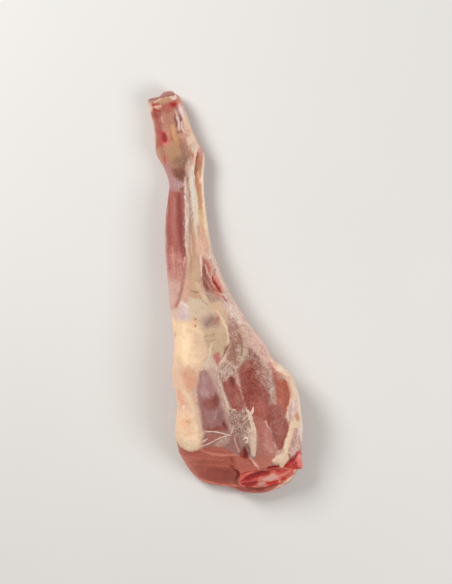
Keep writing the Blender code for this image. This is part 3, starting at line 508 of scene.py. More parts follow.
THIGH = [
    Area(FAT, (226, 188, 162), 4, 1, 0.3, [
        (-90, -64), (-44, -66), (-30, -72), (-36, -84), (-41, -104), (-42, -126), (-44, -146), (-48, -156),
        (-55, -158.5), (-61, -156), (-66, -152), (-74, -148), (-90, -140),
    ]),
    Area(FAT, (218, 164, 134), 4, 0.9, 0, [(-50, -70), (-38, -70), (-34, -80), (-37, -90), (-48, -88)]),
    Line(FAT, (218, 164, 138), 2.6, 0.8, 0, 5, [(-58, -92), (-57, -100), (-55, -106)]),
    Line(FAT, (236, 206, 174), 2.4, 0.8, 0.2, 4, [(-51, -92), (-48, -104), (-46, -114)]),
    Line(FAT, (212, 168, 148), 2, 0.8, 0, 3.4, [(-42, -92), (-42, -106), (-41, -122)]),
    Area(SINEW, (250, 222, 204), 1, 0.8, 0.3, spot(-56, -108, 1.3, 1.5)),
    Area(FAT, (235, 199, 167), 2.6, 1, 0.6, [
        (-90, -118), (-62, -114), (-52, -114), (-46, -120), (-45, -134), (-46, -148), (-50, -156),
        (-56, -158), (-62, -156), (-67, -151), (-90, -142),
    ]),
    Area(FAT, (236, 182, 142), 2.6, 0.75, 0, spot(-58, -126, 4, 5)),
    Area(FAT, (242, 192, 158), 2.4, 0.7, 0, spot(-57, -139, 3, 3.6)),
    Area(FAT, (248, 220, 186), 3, 0.85, 0.3, [
        (-66, -140), (-58, -144), (-50, -140), (-49, -152), (-55, -156), (-63, -152),
    ]),
    Line(FAT, (196, 146, 108), 0.9, 0.8, -0.3, 1, [(-57, -123.6), (-54.6, -125), (-53.4, -127)]),
    Area(FAT, (214, 184, 158), 2.2, 0.85, -0.2, [
        (-45, -112), (-40, -112), (-40, -140), (-42, -148), (-45, -142),
    ]),
    # Cream spot on the fat's inner border: painted highlight.
    Area(FAT, (240, 214, 188), 1.6, 0.7, 0.2, spot(-47, -133, 1.6, 3.4)),
    Area(SILVER, (157, 110, 106), 2.2, 1, 0, [
        (-24, -74), (-31, -78), (-36, -90), (-39, -106), (-40, -128), (-38, -140), (-12, -146), (-10, -132),
        (-13, -114), (-15, -98), (-17, -84),
    ]),
    Area(SILVER, (170, 126, 122), 3, 0.9, 0, [
        (-28, -76), (-34, -86), (-37, -100), (-26, -104), (-18, -96), (-19, -82),
    ]),
    Area(SILVER, (186, 144, 141), 3, 0.7, 0, spot(-31, -96, 4.4, 6)),
    Area(SILVER, (164, 121, 118), 3, 0.8, 0, spot(-29, -125, 8, 7)),
    Area(SILVER, (140, 98, 94), 3, 0.7, 0, spot(-19, -128, 5, 5)),
    Area(SILVER, (152, 92, 85), 3, 0.95, 0, spot(-25, -111, 9, 7.6, 10)),
    Area(SILVER, (122, 64, 58), 2.6, 0.85, 0, spot(-19.6, -108, 3.6, 6, -12)),
    Area(SILVER, (112, 50, 46), 2.2, 0.95, -0.3, spot(-14.4, -138, 4, 5.6, 10)),
    Area(LEAN, (146, 82, 73), 2.4, 0.85, 0, spot(-26, -139.6, 12, 2.6, -8)),
    Line(SINEW, (208, 172, 168), 0.8, 0.7, 0.1, 0.9, [(-32, -97), (-29, -101), (-26, -105)]),
    Line(SINEW, (206, 170, 166), 0.8, 0.7, 0.1, 0.9, [(-29, -95), (-27, -99), (-26, -103)]),
    Line(SINEW, (202, 164, 160), 0.8, 0.75, 0.1, 1, [(-21.6, -120), (-23.6, -125), (-26, -129)]),
    Area(SINEW, (208, 182, 158), 2.4, 1, 0.2, [
        (-24, -68), (-15, -60), (-12, -66), (-11, -80), (-18, -86), (-20, -76),
    ]),
    Line(SILVER, (194, 158, 145), 3, 0.9, 0, (9, 8, 6, 5, 5, 4), [
        (-16, -76), (-15, -90), (-13, -104), (-12, -118), (-11.6, -134), (-10, -150),
    ]),
    Line(DRY, (208, 180, 162), 1.4, 1, 0.4, (5, 4.4, 3.4, 2.6, 2.6, 2.2), [
        (-13, -74), (-11.6, -88), (-10, -102), (-9.4, -116), (-9, -132), (-8.6, -150),
    ]),
    Line(SINEW, (224, 196, 178), 0.9, 0.8, 0.3, 1.1, [(-9.6, -90), (-8.6, -104), (-8, -118)]),
    Area(DRY, (174, 136, 118), 1.8, 1, 0, [
        (-11, -78), (-6, -72), (2, -70), (8, -76), (8, -88), (2, -84), (-4, -90), (-10, -92),
    ]),
    Line(DRY, (226, 200, 184), 0.9, 0.8, 0.3, 1.4, [(-10, -78), (-4, -80), (1, -77)]),
    Line(DRY, (214, 186, 168), 0.9, 0.7, 0.3, 1.3, [(-8, -85), (-3, -82), (4, -84)]),
    Area(LEAN, (162, 92, 84), 1.5, 1, 0.3, [
        (-9, -92), (-3, -90), (2, -85), (6, -90), (8.4, -104), (9, -120), (3, -126), (-4, -122), (-7, -108),
    ]),
    Area(LEAN, (120, 64, 56), 2, 0.9, 0, spot(2.4, -91.6, 2.6, 5)),
    Area(LEAN, (158, 106, 96), 2.4, 0.7, 0, spot(-5, -106, 2.4, 10)),
    Area(LEAN, (176, 116, 104), 3, 0.8, 0, spot(4, -114, 4, 8)),
    Area(BLOOM, (150, 74, 64), 3, 1, 0, [
        (10, -86), (16, -77), (28, -73), (37, -88), (40, -110), (42, -128), (48, -142), (36, -152), (30,
                -150),
        (24, -142), (16, -136), (10, -124), (9, -104),
    ]),
    Area(BLOOM, (163, 104, 88), 3, 0.8, 0, spot(20, -79, 8, 4, 10)),
    Area(BLOOM, (144, 71, 59), 4.4, 0.9, 0, spot(22, -97, 8, 12, 4)),
    Area(BLOOM, (172, 92, 82), 4.4, 0.85, 0, spot(25, -129, 10, 11, 10)),
    Area(BLOOM, (60, 24, 20), 0.7, 0.95, -0.3, spot(28.2, -84.4, 0.8, 1.1)),
    Line(SINEW, (208, 156, 140), 0.9, 0.9, 0.2, (1, 1.6, 1.6, 1), [
        (8, -80), (8.8, -92), (9.4, -104), (10, -114),
    ]),
    Area(DRY, (166, 104, 91), 3, 0.8, 0, [
        (30, -76), (37, -82), (40, -100), (36, -108), (31, -100), (29, -88),
    ]),
    Line(DRY, (176, 132, 120), 2.4, 0.9, 0.1, (3, 7, 8, 5, 2), [
        (38, -84), (41, -96), (42, -108), (40, -118), (37, -126),
    ]),
    Line(DRY, (196, 162, 150), 2.2, 0.7, 0.1, (1, 4, 4.4, 1), [
        (42, -95), (43.4, -104), (43, -112), (40, -119),
    ]),
    Line(BLOOM, (122, 78, 68), 1, 0.7, -0.2, 1.4, [(46, -98), (47.6, -108), (46.6, -118)]),
    Area(BLOOM, (172, 92, 73), 1.8, 1, 0.2, [
        (48, -92), (55, -97), (61, -106), (61, -122), (56, -132), (50, -140), (44, -130), (48, -110),
    ]),
    Area(BLOOM, (183, 101, 82), 2.4, 0.6, 0, spot(55, -110, 3.6, 7)),
    Area(DRY, (194, 136, 118), 2, 0.7, 0, spot(54, -98, 3, 5, 20)),
    Line(BLOOM, (188, 116, 106), 2, 0.7, 0, 4, [(46, -82), (50, -91)]),
    Area(BLOOM, (157, 88, 78), 2.4, 0.9, 0, [
        (38, -128), (46, -128), (51, -138), (48, -150), (38, -146), (34, -136),
    ]),
    Area(LUMPY, (234, 204, 178), 1.5, 1, 0.8, [
        (48, -76), (56, -84), (66, -90), (80, -100), (80, -170), (66, -170), (56, -152), (52, -142), (56,
                -132),
        (62, -121), (62, -108), (58, -98), (53, -92), (50, -84),
    ]),
    Line(FAT, (196, 128, 98), 0.8, 0.85, -0.3, 1, [(53.6, -92), (57.6, -96.4), (61.4, -99.6)]),
    Line(FAT, (210, 158, 128), 1.2, 0.8, -0.2, 2, [(61.6, -106), (63, -114), (62, -124)]),
    Line(FAT, (248, 226, 204), 1.6, 0.9, 0.3, 3, [(62, -93), (66, -104), (67, -118)]),
    Area(FAT, (250, 232, 210), 1.4, 0.8, 0.5, spot(58, -89, 3, 2, -30)),
    Area(BLOOM, (222, 168, 140), 1.6, 0.6, -0.2, spot(63.4, -101, 2, 3)),
    Area(BLOOM, (214, 164, 140), 1.4, 0.7, -0.2, spot(52, -84, 3, 1.6, -50)),
    # Near-white silverskin along the right edge, lightened as a painted rim light.
    Line(SILVER, (238, 224, 220), 1.4, 0.95, 0.2, (2, 3, 3.4, 3.6), [
        (69.4, -122), (68.4, -134), (67, -150), (63.6, -178),
    ]),
    Area(DRY, (222, 184, 174), 2.4, 0.9, 0, [
        (58, -131), (64, -126), (65.6, -136), (61, -146), (54, -145), (55, -137),
    ]),
    Line(BLOOM, (194, 142, 132), 1.8, 0.7, -0.2, 2, [(59, -132), (56.4, -139), (56, -147)]),
    Line(SINEW, (240, 218, 210), 1, 0.8, 0.3, 1.6, [(63, -128), (61, -136), (58, -143)]),
    Area(FAT, (196, 138, 100), 1.4, 0.85, -0.4, [
        (62.4, -142), (65.4, -141), (66.6, -145), (64.4, -150), (61.6, -147),
    ]),
    Line(FAT, (246, 218, 188), 0.9, 0.95, 0.6, (1, 2.2, 2.2, 1), [
        (59.6, -146), (61.4, -151), (64, -153), (67, -151),
    ]),
    Area(FAT, (238, 206, 174), 1.4, 0.9, 0.3, spot(57.6, -154, 3, 2.2, 30)),
    Area(DRY, (196, 152, 146), 1.8, 0.85, -0.2, [
        (58, -157), (62, -158), (60, -170), (57, -175), (54, -172), (56, -164),
    ]),
    Line(SINEW, (228, 200, 196), 0.9, 0.8, 0.3, 1.3, [(62, -158), (60.4, -166), (58, -174)]),
]

RUMP = [
    Area(DRY, (158, 114, 100), 1.8, 1, 0, [
        (-9, -124), (3, -126), (12, -130), (14, -150), (10, -170), (6, -180), (-2, -176), (-10, -170), (-9,
                -148),
    ]),
    Area(DRY, (144, 104, 90), 2.4, 0.8, 0, spot(-1, -148, 5, 6)),
    Area(DRY, (214, 188, 172), 2.2, 0.8, 0, [(8, -144), (13, -147), (12.6, -158), (8, -168), (5.6, -161)]),
    Line(CLOT, (118, 62, 54), 1.2, 0.8, -0.3, (1, 2, 1.4), [(-4, -153), (-6, -160), (-4.6, -167)]),
    Line(CLOT, (124, 66, 58), 1.2, 0.7, -0.3, (1, 1.8, 1), [(3, -162), (4.6, -168), (3.6, -174)]),
    Area(SILVER, (154, 110, 104), 2.2, 1, 0, [
        (-38, -141), (-12, -146), (-6, -150), (-5, -172), (-12, -171), (-20, -164), (-30, -159), (-44, -156),
    ]),
    Area(BLOOM, (166, 107, 96), 1.6, 0.9, -0.3, [
        (-38, -143), (-24, -145.6), (-14, -149), (-26, -151), (-38, -153),
    ]),
    Area(DRY, (190, 144, 130), 2, 0.85, 0, [(-31, -154), (-18, -151), (-13, -155), (-19, -158), (-27, -160)]),
    Line(SINEW, (218, 170, 156), 1, 0.85, 0.3, 1.4, [(-8.4, -150), (-8, -160), (-7, -169)]),
    Area(BLOOM, (177, 108, 96), 2, 1, 0, [
        (15, -134), (24, -138), (31, -148), (33, -164), (32, -182), (22, -192), (8, -192), (6, -182), (13,
                -170),
        (16, -154),
    ]),
    Area(BLOOM, (174, 113, 100), 2.6, 0.8, 0, [(12, -168), (22, -166), (28, -176), (24, -186), (12, -186)]),
    Line(SILVER, (200, 142, 128), 3, 0.75, 0, (3, 5, 7, 5), [(27, -152), (26, -164), (27, -172), (31, -180)]),
    Line(SINEW, (228, 188, 170), 0.8, 0.95, 0.3, 1.2, [(28.2, -142), (29.4, -147), (31, -152)]),
    Line(SINEW, (214, 166, 150), 0.9, 0.7, 0.1, 1.2, [(21, -166), (25, -172), (29, -178)]),
    Area(BLOOM, (158, 90, 81), 1.8, 1, 0, [
        (32, -147), (40, -143), (50, -143), (53, -152), (49, -164), (42, -174), (35, -174), (32, -160),
    ]),
    Area(BLOOM, (172, 106, 95), 3, 0.7, 0, spot(42, -156, 4, 9)),
    Line(DRY, (184, 130, 118), 1.2, 0.8, 0.1, 1.6, [(32, -150), (32.4, -160), (33.4, -172)]),
    Line(BLOOM, (138, 74, 50), 0.9, 0.9, -0.4, (0.8, 1.6, 1.2), [(51, -158), (45, -165.6), (40, -173)]),
    Line(LUMPY, (234, 204, 176), 1.3, 1, 0.8, (5, 6.4, 7, 6), [
        (57, -152), (53, -161), (48, -169.6), (43, -177),
    ]),
    Line(FAT, (246, 224, 200), 1, 0.8, 0.3, (1.6, 2.6, 1.6), [(52, -160), (47.6, -168), (43, -175)]),
    Line(BLOOM, (206, 158, 142), 1.2, 0.75, -0.3, 1.8, [(56.6, -160), (53.6, -168), (49.6, -176)]),
    Line(FAT, (226, 186, 160), 0.9, 0.7, 0.2, 1.2, [(50, -163), (50.6, -168), (47, -174)]),
    Area(LUMPY, (224, 196, 168), 1.2, 1, 0.9, [
        (24.6, -187), (28, -185), (34, -182), (40, -179.6), (47, -179), (48.4, -182), (45.4, -186), (45,
                -190.6),
        (40, -193), (34, -191), (28, -189),
    ]),
    Line(SINEW, (212, 176, 150), 0.8, 0.7, -0.2, 0.9, [(29, -184.6), (35, -182), (41, -180)]),
    Area(FAT, (222, 166, 148), 1.3, 0.9, 0, spot(35.6, -193.4, 2.4, 2.6)),
    Line(BLOOM, (150, 70, 55), 0.9, 0.9, -0.4, 2, [(46.6, -182.6), (47.4, -190)]),
    Area(DRY, (214, 176, 170), 2, 0.9, 0, [(50, -176), (58, -174), (61, -184), (57, -187), (50, -186)]),
    Area(DRY, (176, 140, 126), 1.8, 0.8, -0.2, spot(54, -173, 2, 3.6, -14)),
]

CUT = [
    Area(SLICED, (163, 91, 78), 1.2, 1, 0, [
        (-80, -147), (-70, -150), (-64, -155), (-57, -158.5), (-49, -157.5), (-40, -157), (-28,
                -159), (-19, -164),
        (-11, -171), (-4, -174), (2, -178), (8, -187), (14, -192), (60, -192), (70, -240), (-40,
                -240), (-90, -200),
    ]),
    Area(SLICED, (171, 99, 85), 3, 0.85, 0, [
        (-74, -152), (-56, -160), (-30, -160), (-16, -168), (-40, -172), (-70, -168),
    ]),
    Area(SLICED, (150, 85, 73), 3, 0.8, 0, spot(-50, -174, 9, 4, 15)),
    Area(SLICED, (146, 77, 68), 3.4, 0.9, 0, [
        (-56, -184), (-40, -181), (-20, -185), (-17, -196), (-24, -201), (-42, -197),
    ]),
    Area(SLICED, (136, 70, 63), 3, 0.7, 0, spot(-24, -192, 5, 6)),
    Area(SLICED, (178, 106, 92), 2.6, 0.9, 0, [
        (-12, -176), (0, -178), (7, -188), (6, -194), (-6, -194), (-12, -188),
    ]),
    Area(SLICED, (182, 112, 97), 2.4, 0.9, 0, [(10, -180), (24, -182), (28, -190), (16, -192.6), (9, -189)]),
    Line(SLICED, (208, 136, 116), 1.2, 0.85, 0.3, (1.2, 2.2, 2.4, 2, 1.4), [
        (-47, -158), (-39, -164), (-28, -168), (-17, -170.4), (-5, -174),
    ]),
    Line(SLICED, (190, 114, 98), 1.1, 0.7, 0.2, 1.3, [(-58, -172), (-41, -177), (-22, -182)]),
    Line(SLICED, (196, 118, 100), 1, 0.6, 0.1, 1.1, [(-66, -162), (-52, -167), (-38, -171), (-24, -174)]),
    Line(SLICED, (192, 118, 102), 1, 0.6, 0.1, 1.2, [(-36, -160), (-26, -163), (-18, -167.6)]),
    Line(SLICED, (202, 126, 110), 1, 0.85, 0, 1.4, [
        (-71, -160), (-66, -174), (-56, -188), (-42, -197), (-27, -203),
    ]),
    Line(SLICED, (214, 144, 124), 0.9, 0.8, 0.2, 1.3, [(-24, -204), (-19, -204.6), (-16, -206)]),
    Line(CLOT, (134, 66, 52), 0.8, 0.9, -0.5, (1, 2, 1), [(-17.4, -173), (-16, -176), (-16.2, -179)]),
    Line(CLOT, (112, 50, 38), 0.8, 1, -0.6, (0.8, 1.4, 2.4, 3, 1.2), [
        (-17.4, -183), (-15.4, -188), (-13, -190.6), (-12.8, -195), (-15.4, -198.6),
    ]),
    Line(CLOT, (126, 72, 58), 0.8, 0.9, -0.4, (1.2, 1.6, 0.8), [(-17, -201), (-16, -204), (-14.6, -206.6)]),
    Area(CLOT, (136, 60, 54), 2, 0.9, -0.5, [
        (0, -165), (2, -171), (2.2, -177), (-1, -179), (-7, -174), (-4, -169),
    ]),
    Area(CLOT, (106, 40, 36), 1.2, 0.9, -0.6, [
        (0.4, -166.6), (1.6, -172), (0.6, -177), (-2.6, -176), (-1.8, -171),
    ]),
    Line(SINEW, (230, 172, 152), 0.8, 0.95, 0.4, (1.4, 2, 2.6, 1.6), [
        (3.4, -179), (6.6, -184), (9, -188.4), (10.6, -191.6),
    ]),
    Line(SLICED, (130, 60, 50), 0.8, 0.85, -0.4, 1, [(2.4, -180.6), (5.6, -186.4)]),
    Area(SLICED, (138, 68, 60), 1.6, 1, 0, [
        (-24, -205), (-10, -210), (8, -213), (26, -213.5), (42, -208), (50, -200), (66, -206), (40,
                -230), (-24, -224),
    ]),
    Area(SLICED, (178, 102, 90), 3, 0.9, 0, [(14, -210), (14, -222), (46, -214), (50, -200), (30, -210)]),
    Area(SLICED, (152, 76, 66), 2, 0.7, 0, spot(4, -214.6, 8, 1.8)),
    Line(SLICED, (200, 126, 110), 1, 0.85, 0.2, 1.4, [
        (-24, -206), (-18, -211.6), (-6, -216.4), (10, -217.4),
    ]),
    Line(FAT, (232, 194, 170), 1.6, 0.95, 0.2, (1, 4, 6, 6), [
        (20, -218.6), (32, -216), (43, -210.6), (50, -201.6),
    ]),
    Line(BLOOD, (208, 118, 98), 1.2, 0.7, 0, 1.6, [(29, -213), (36, -210.6), (41, -207)]),
    Area(BLOOD, (176, 60, 52), 1.6, 1, -0.3, [
        (20, -192.6), (34, -194), (50, -190), (55, -183), (62, -184), (60, -203), (48, -201), (38, -198),
        (24, -197),
    ]),
    Line(BLOOD, (88, 18, 16), 0.8, 1, -0.8, (1, 1.8, 1.6, 1), [
        (19.6, -193.6), (24.6, -193), (29, -192.8), (33, -193.8),
    ]),
    Line(BLOOD, (122, 36, 32), 0.8, 0.95, -0.6, (1, 1.4, 1.6, 1), [
        (37.6, -195), (44, -193), (48.4, -190), (52, -186),
    ]),
    Area(SPONGE, (222, 122, 116), 1.8, 0.95, 0.2, [
        (52, -191), (55, -187), (60, -184.6), (61, -195), (58.6, -201), (53, -199),
    ]),
    Area(BLOOD, (184, 64, 60), 2.6, 0.9, -0.1, [
        (43, -194), (49, -190), (54, -187.6), (52.6, -193), (51, -199), (46, -199),
    ]),
    Line(CLOT, (96, 24, 24), 0.8, 0.9, -0.3, (0.8, 1.6, 1), [(47.6, -191.6), (51.4, -189.4), (54.6, -186.6)]),
    Area(CLOT, (124, 28, 32), 0.9, 0.7, -0.2, spot(49, -196, 1.2, 0.9, 30)),
    Area(CLOT, (140, 34, 36), 0.9, 0.6, -0.2, spot(52.6, -194, 0.9, 1.2, -30)),
    Area(LUMPY, (222, 190, 164), 1.3, 0.95, 0.5, [
        (26.6, -187), (34, -185.6), (45, -186), (44.6, -190.4), (39, -193.4), (36.6, -196), (34,
                -195.6), (33, -192.6),
        (29, -190.6),
    ]),
    Area(SILVER, (238, 176, 176), 0.9, 0.8, 0.2, spot(57.4, -188, 1.1, 1.5)),
    Line(SILVER, (232, 168, 166), 0.9, 0.8, 0.2, 1.6, [(59.6, -187), (60, -193), (58.8, -199)]),
]

HIP_BONE = [
    Area(SPONGE, (196, 86, 74), 2, 1, 0, [(-60, -150), (90, -150), (90, -250), (-60, -250)]),
    Line(SINEW, (210, 124, 112), 0.8, 0.8, 0.3, (1, 1.2, 1.2, 0.8, 0.6), [
        (-15, -202.6), (-10, -197.8), (-2, -194.4), (8, -192.6), (20, -192.6),
    ]),
    Area(CLOT, (156, 38, 34), 1.4, 1, -0.4, [
        (-11, -202), (-7, -198.8), (0, -195.8), (8, -194.2), (16, -194), (22, -195.8), (21.6, -199), (14,
                -200.8),
        (5, -202), (-3, -203),
    ]),
    Line(CLOT, (112, 22, 22), 0.8, 0.9, -0.4, (1, 2.4, 2, 1), [
        (0, -199), (6, -197.4), (12, -196.8), (18, -196),
    ]),
    Area(CLOT, (124, 26, 26), 0.8, 0.8, -0.3, spot(-3.4, -200.2, 1.8, 0.9, 20)),
    Area(SPONGE, (184, 72, 64), 1, 0.7, 0, [
        (-12, -203.4), (-6, -202.4), (2, -202.4), (10, -201.6), (11, -203.6), (0, -204), (-10, -204.6),
    ]),
    Area(CLOT, (152, 44, 42), 1.2, 1, -0.4, [
        (-12.4, -204.6), (-5, -204), (3, -204.6), (6.4, -206.6), (3.6, -208.8), (-3, -209.4), (-9, -208),
    ]),
    Line(CLOT, (130, 30, 34), 0.8, 0.8, -0.3, 1, [(-10, -205.4), (-3, -205.2), (4, -206.4)]),
    Area(SPONGE, (214, 124, 106), 1.2, 0.85, 0, [
        (9, -201.6), (14, -201.4), (13, -204.4), (11, -206), (7, -205.4),
    ]),
    Area(FAT, (208, 154, 142), 1.6, 1, 0.6, [
        (12, -204.4), (15.4, -202.4), (20, -201), (23, -199.2), (26, -199.8), (28, -202), (30.6,
                -204), (29.6, -206.4),
        (25, -207.6), (19, -207.2), (14.4, -206.6),
    ]),
    Area(FAT, (190, 142, 130), 1.4, 0.95, 0.3, [
        (5, -208.4), (8, -206.8), (13, -206.4), (14.6, -208.4), (12, -210.2), (6, -210.2),
    ]),
    Area(CLOT, (184, 52, 46), 1.2, 1, -0.3, [
        (15.6, -208.6), (21, -208.2), (27, -208.8), (27.6, -211.4), (22, -211.8), (17, -211.2),
    ]),
    # Orange-white streak on the red marrow: painted highlight.
    Line(SPONGE, (232, 168, 148), 0.8, 0.8, 0.2, 1.2, [(28.6, -207.4), (29.6, -209.6), (29, -211.6)]),
    Area(CLOT, (184, 62, 50), 1, 0.9, -0.4, spot(35, -208.8, 3.6, 2.4, 20)),
    Area(CLOT, (150, 34, 32), 0.7, 0.8, -0.3, spot(34, -209.4, 1.3, 0.9)),
    Area(SPONGE, (184, 54, 46), 1.2, 0.95, -0.3, [
        (28, -198.6), (34, -197.6), (40, -199), (39.6, -202.4), (33, -202.6),
    ]),
    Line(CLOT, (148, 36, 34), 0.8, 0.8, -0.3, 1.6, [(24, -195.4), (28, -196.4), (32, -199)]),
    Line(SPONGE, (226, 142, 122), 0.9, 0.8, 0, 1.8, [(31, -195.4), (38, -196.4), (45, -198.4)]),
    Line(SPONGE, (226, 136, 112), 1, 0.8, 0, 2.2, [(32, -204.4), (38, -203.6), (44, -201.4)]),
    Line(SPONGE, (188, 60, 50), 0.8, 0.7, -0.2, 1.4, [(36, -206), (42, -204.6)]),
    Line(SINEW, (224, 166, 154), 0.8, 0.9, 0.4, 1, [
        (-14, -205), (-9, -208.8), (-2, -210.8), (6, -211.6), (14, -212),
    ]),
    # Dark line in the crevice under the bone: painted shade.
    Line(LEAN, (136, 82, 76), 0.7, 0.8, -0.2, 0.9, [(1, -211.2), (6, -211.6), (12, -211.4)]),
]

HOCK_BONE = [
    Area(SINEW, (176, 126, 118), 2, 1, 0, [(-60, 260), (60, 260), (60, 160), (-60, 160)]),
    Line(LEAN, (176, 120, 114), 1, 0.6, 0, 1.4, [(-20, 229.6), (-12, 231), (-6, 232.4)]),
    Line(SINEW, (206, 160, 150), 0.9, 0.8, 0.2, 1.2, [
        (-12, 231.4), (-8, 233.4), (-2, 234.4), (4, 234), (6.6, 231),
    ]),
    Line(LEAN, (184, 128, 120), 0.8, 0.6, 0, 1, [(-4, 231.4), (2, 232), (6, 232)]),
]

# The outer side, which lies down: fell and fat over pink flesh, laid out by noise.
OUTER_FAT = (228, 192, 164)
OUTER_FELL = (210, 166, 158)
OUTER_FLESH = (174, 112, 106)


# ---------------------------------------------------------------- meshes

def mesh_points(mesh):
    flat = np.empty(len(mesh.vertices) * 3, np.float32)
    mesh.vertices.foreach_get("co", flat)
    return flat.reshape(-1, 3).astype(float) / MM


def mesh_normals(mesh):
    flat = np.empty(len(mesh.vertices) * 3, np.float32)
    mesh.vertex_normals.foreach_get("vector", flat)
    return flat.reshape(-1, 3).astype(float)


def set_points(mesh, points):
    mesh.vertices.foreach_set("co", (points * MM).astype(np.float32).ravel())
    mesh.update()


def link(name, mesh, *materials):
    obj = bpy.data.objects.new(name, mesh)
    bpy.context.scene.collection.objects.link(obj)
    for material in materials:
        mesh.materials.append(material)
    return obj


def finer_copy(node, name, voxel):
    """A copy of a CAD solid whose faces are small and even."""
    rough = link(name + "_rough", bpy.data.objects[node].data.copy())
    remesh = rough.modifiers.new("even", "REMESH")
    remesh.mode = "VOXEL"
    remesh.voxel_size = voxel * MM
    depsgraph = bpy.context.evaluated_depsgraph_get()
    mesh = bpy.data.meshes.new_from_object(rough.evaluated_get(depsgraph))
    bpy.data.objects.remove(rough)
    mesh.name = name
    mesh.materials.clear()
    mesh.shade_smooth()
    return mesh


def spread(mesh, values, rounds, step=0.5, back=0.5):
    """Evens out one row of values for each point of a mesh with its neighbours' values, step by step."""
    ends = np.empty(len(mesh.edges) * 2, np.int32)
    mesh.edges.foreach_get("vertices", ends)
    here, there = np.concatenate([ends.reshape(-1, 2), ends.reshape(-1, 2)[:, ::-1]]).T
    count = np.bincount(here, minlength=len(values))
    values = values.copy()
    for k in range(rounds):
        around = np.stack([np.bincount(here, column[there], len(values)) / count for column in values.T],
                axis=1)
        values += (step if k % 2 == 0 else back) * (around - values)
    return values


def even_out(mesh, rounds):
    """Smooths away the CAD solid's facets without shrinking it."""
    set_points(mesh, spread(mesh, mesh_points(mesh), rounds * 2, 0.5, -0.52))


def seen_from_above(points):
    """The (s, t) at which the camera above sees points given in millimetres in the leg's frame."""
    flat = points[:, :2] - np.array(FEATURE_ORIGIN)
    nearer = CAMERA_RISE / (CAMERA_RISE - (points[:, 2] - TRUE_SCALE_Z))
    return np.array(CAMERA_OVER) + (flat - np.array(CAMERA_OVER)) * nearer[:, None]


# ---------------------------------------------------------------- painting

# The colour of membrane where no patch covers it.
BARE = (196, 156, 138)
# How far a patch's edge strays from its outline: in broad waves, in a fine fray and, where it is soft,
# combed out along the fibres.
EDGE_WARP = 1.0
EDGE_FRAY = 0.55
EDGE_COMBED = 3.0
# Where the surface gets steep, by its normal's z, the edges stray further along the leg.
STEEP_FROM = (0.05, 0.6)
STEEP_WARP = 16.0
LOOKS = ("fibre", "frost", "lobes", "rough")


def cover(patch, at):
    """How much of each (s, t) a patch covers, from 0 to 1."""
    if isinstance(patch, Area):
        shape = curve_through(patch.outline, closed=True)
        reach = patch.soft + EDGE_WARP + EDGE_FRAY
    else:
        shape = curve_through(patch.path)
        widths = np.atleast_1d(np.array(patch.widths, float))
        reach = patch.soft + widths.max() + EDGE_WARP + EDGE_FRAY
    near = ((at > shape.min(0) - reach) & (at < shape.max(0) + reach)).all(axis=1)
    covered = np.zeros(len(at))
    if not near.any():
        return covered
    if isinstance(patch, Area):
        depth = depth_inside(at[near], shape)
    else:
        away, share = along_path(at[near], shape)
        depth = np.interp(share, np.linspace(0, 1, len(widths)), widths) / 2 - away
    covered[near] = smooth_step(0.5 + depth / (2 * patch.soft))
    return covered


def paint(points, normals, patches, seed):
    """The colour, the looks and the lift of each point of a surface, from the patches laid over it in turn."""
    seen = seen_from_above(points)
    wander = [fractal(points, 7, seed + k, 2) * EDGE_WARP + noise(points, 2.2,
            seed + k + 5) * EDGE_FRAY for k in (1, 11)]
    at = seen + np.stack(wander, axis=1)
    steep = 1 - smooth_step((normals[:, 2] - STEEP_FROM[0]) / (STEEP_FROM[1] - STEEP_FROM[0]))
    at[:, 1] += fractal(points / (1, 1.6, 1), 15, seed + 27) * STEEP_WARP * steep
    combed = np.zeros_like(at)
    combed[:, 1] = fractal(grain_of(points, seen), (2.2, 16, 5), seed + 17, 2) * EDGE_COMBED
    colour = np.tile(np.array(BARE, float), (len(points), 1))
    looks = np.tile(np.array(DRY, float), (len(points), 1))
    lift = np.zeros(len(points))
    for patch in patches:
        share = cover(patch, at + combed * smooth_step((patch.soft - 1) / 2)) * patch.amount
        blend = share[:, None]
        colour += blend * (np.array(patch.colour, float) - colour)
        looks += blend * (np.array(patch.tissue) - looks)
        lift += share * patch.lift
    return seen, colour, looks, lift


def paint_outer_side(points, normals, colour, looks):
    """Lays fell, fat and flesh over the side that lies down, which fades into the painted upper side."""
    ragged = 0.9 * fractal(points / (1, 1.5, 1), 12, 43)
    upper = smooth_step((normals[:, 2] + 0.36 + ragged) / 0.40)
    cut = smooth_step((-normals[:, 1] - 0.35) / 0.3) * smooth_step((-150 - points[:, 1]) / 20)
    share = (1 - upper) * (1 - cut)
    drawn_out = points / np.array([1, 2.6, 1])
    fat = smooth_step(0.55 + 1.5 * fractal(drawn_out, 26, 41) - smooth_step(points[:, 1] / 60) * 0.7)
    flesh = smooth_step(0.15 + 1.6 * fractal(drawn_out, 18, 42)) * (1 - fat)
    lying = np.array(OUTER_FELL, float) + fat[:, None] * (np.array(OUTER_FAT, float) - OUTER_FELL)
    lying += flesh[:, None] * (np.array(OUTER_FLESH, float) - lying)
    lying_looks = np.array(SILVER) + fat[:, None] * (np.array(FAT) - np.array(SILVER))
    colour += share[:, None] * (lying - colour)
    looks += share[:, None] * (lying_looks - looks)


def light_on(points, normals):
    """How bright a white surface looks in the studio light, by its place and the way it faces."""
    lit = SKY * (1 + normals[:, 2]) / 2 + TABLE_GLOW * (1 - normals[:, 2]) / 2
    for lamp in LAMPS:
        to_lamp = np.array(lamp.place) - points * MM
        away = np.linalg.norm(to_lamp, axis=1)
        facing = np.clip((normals * to_lamp).sum(axis=1) / away, 0, None)
        lit += lamp.watts / (math.pi * away) ** 2 * facing
    return lit * KEPT_LIGHT


def own_colour(seen_colour, light):
    """A surface's linear colour, from the sRGB colour that it shows in that light and its faint shine."""
    share = np.clip(seen_colour / 255, 0, 1)
    linear = np.where(share > 0.04045, ((share + 0.055) / 1.055) ** 2.4, share / 12.92)
    own = np.clip((linear - SHINE) / np.reshape(light, (-1, 1)), 0.004, None)
    return own * np.minimum(1, BRIGHTEST / own.max(axis=-1, keepdims=True))


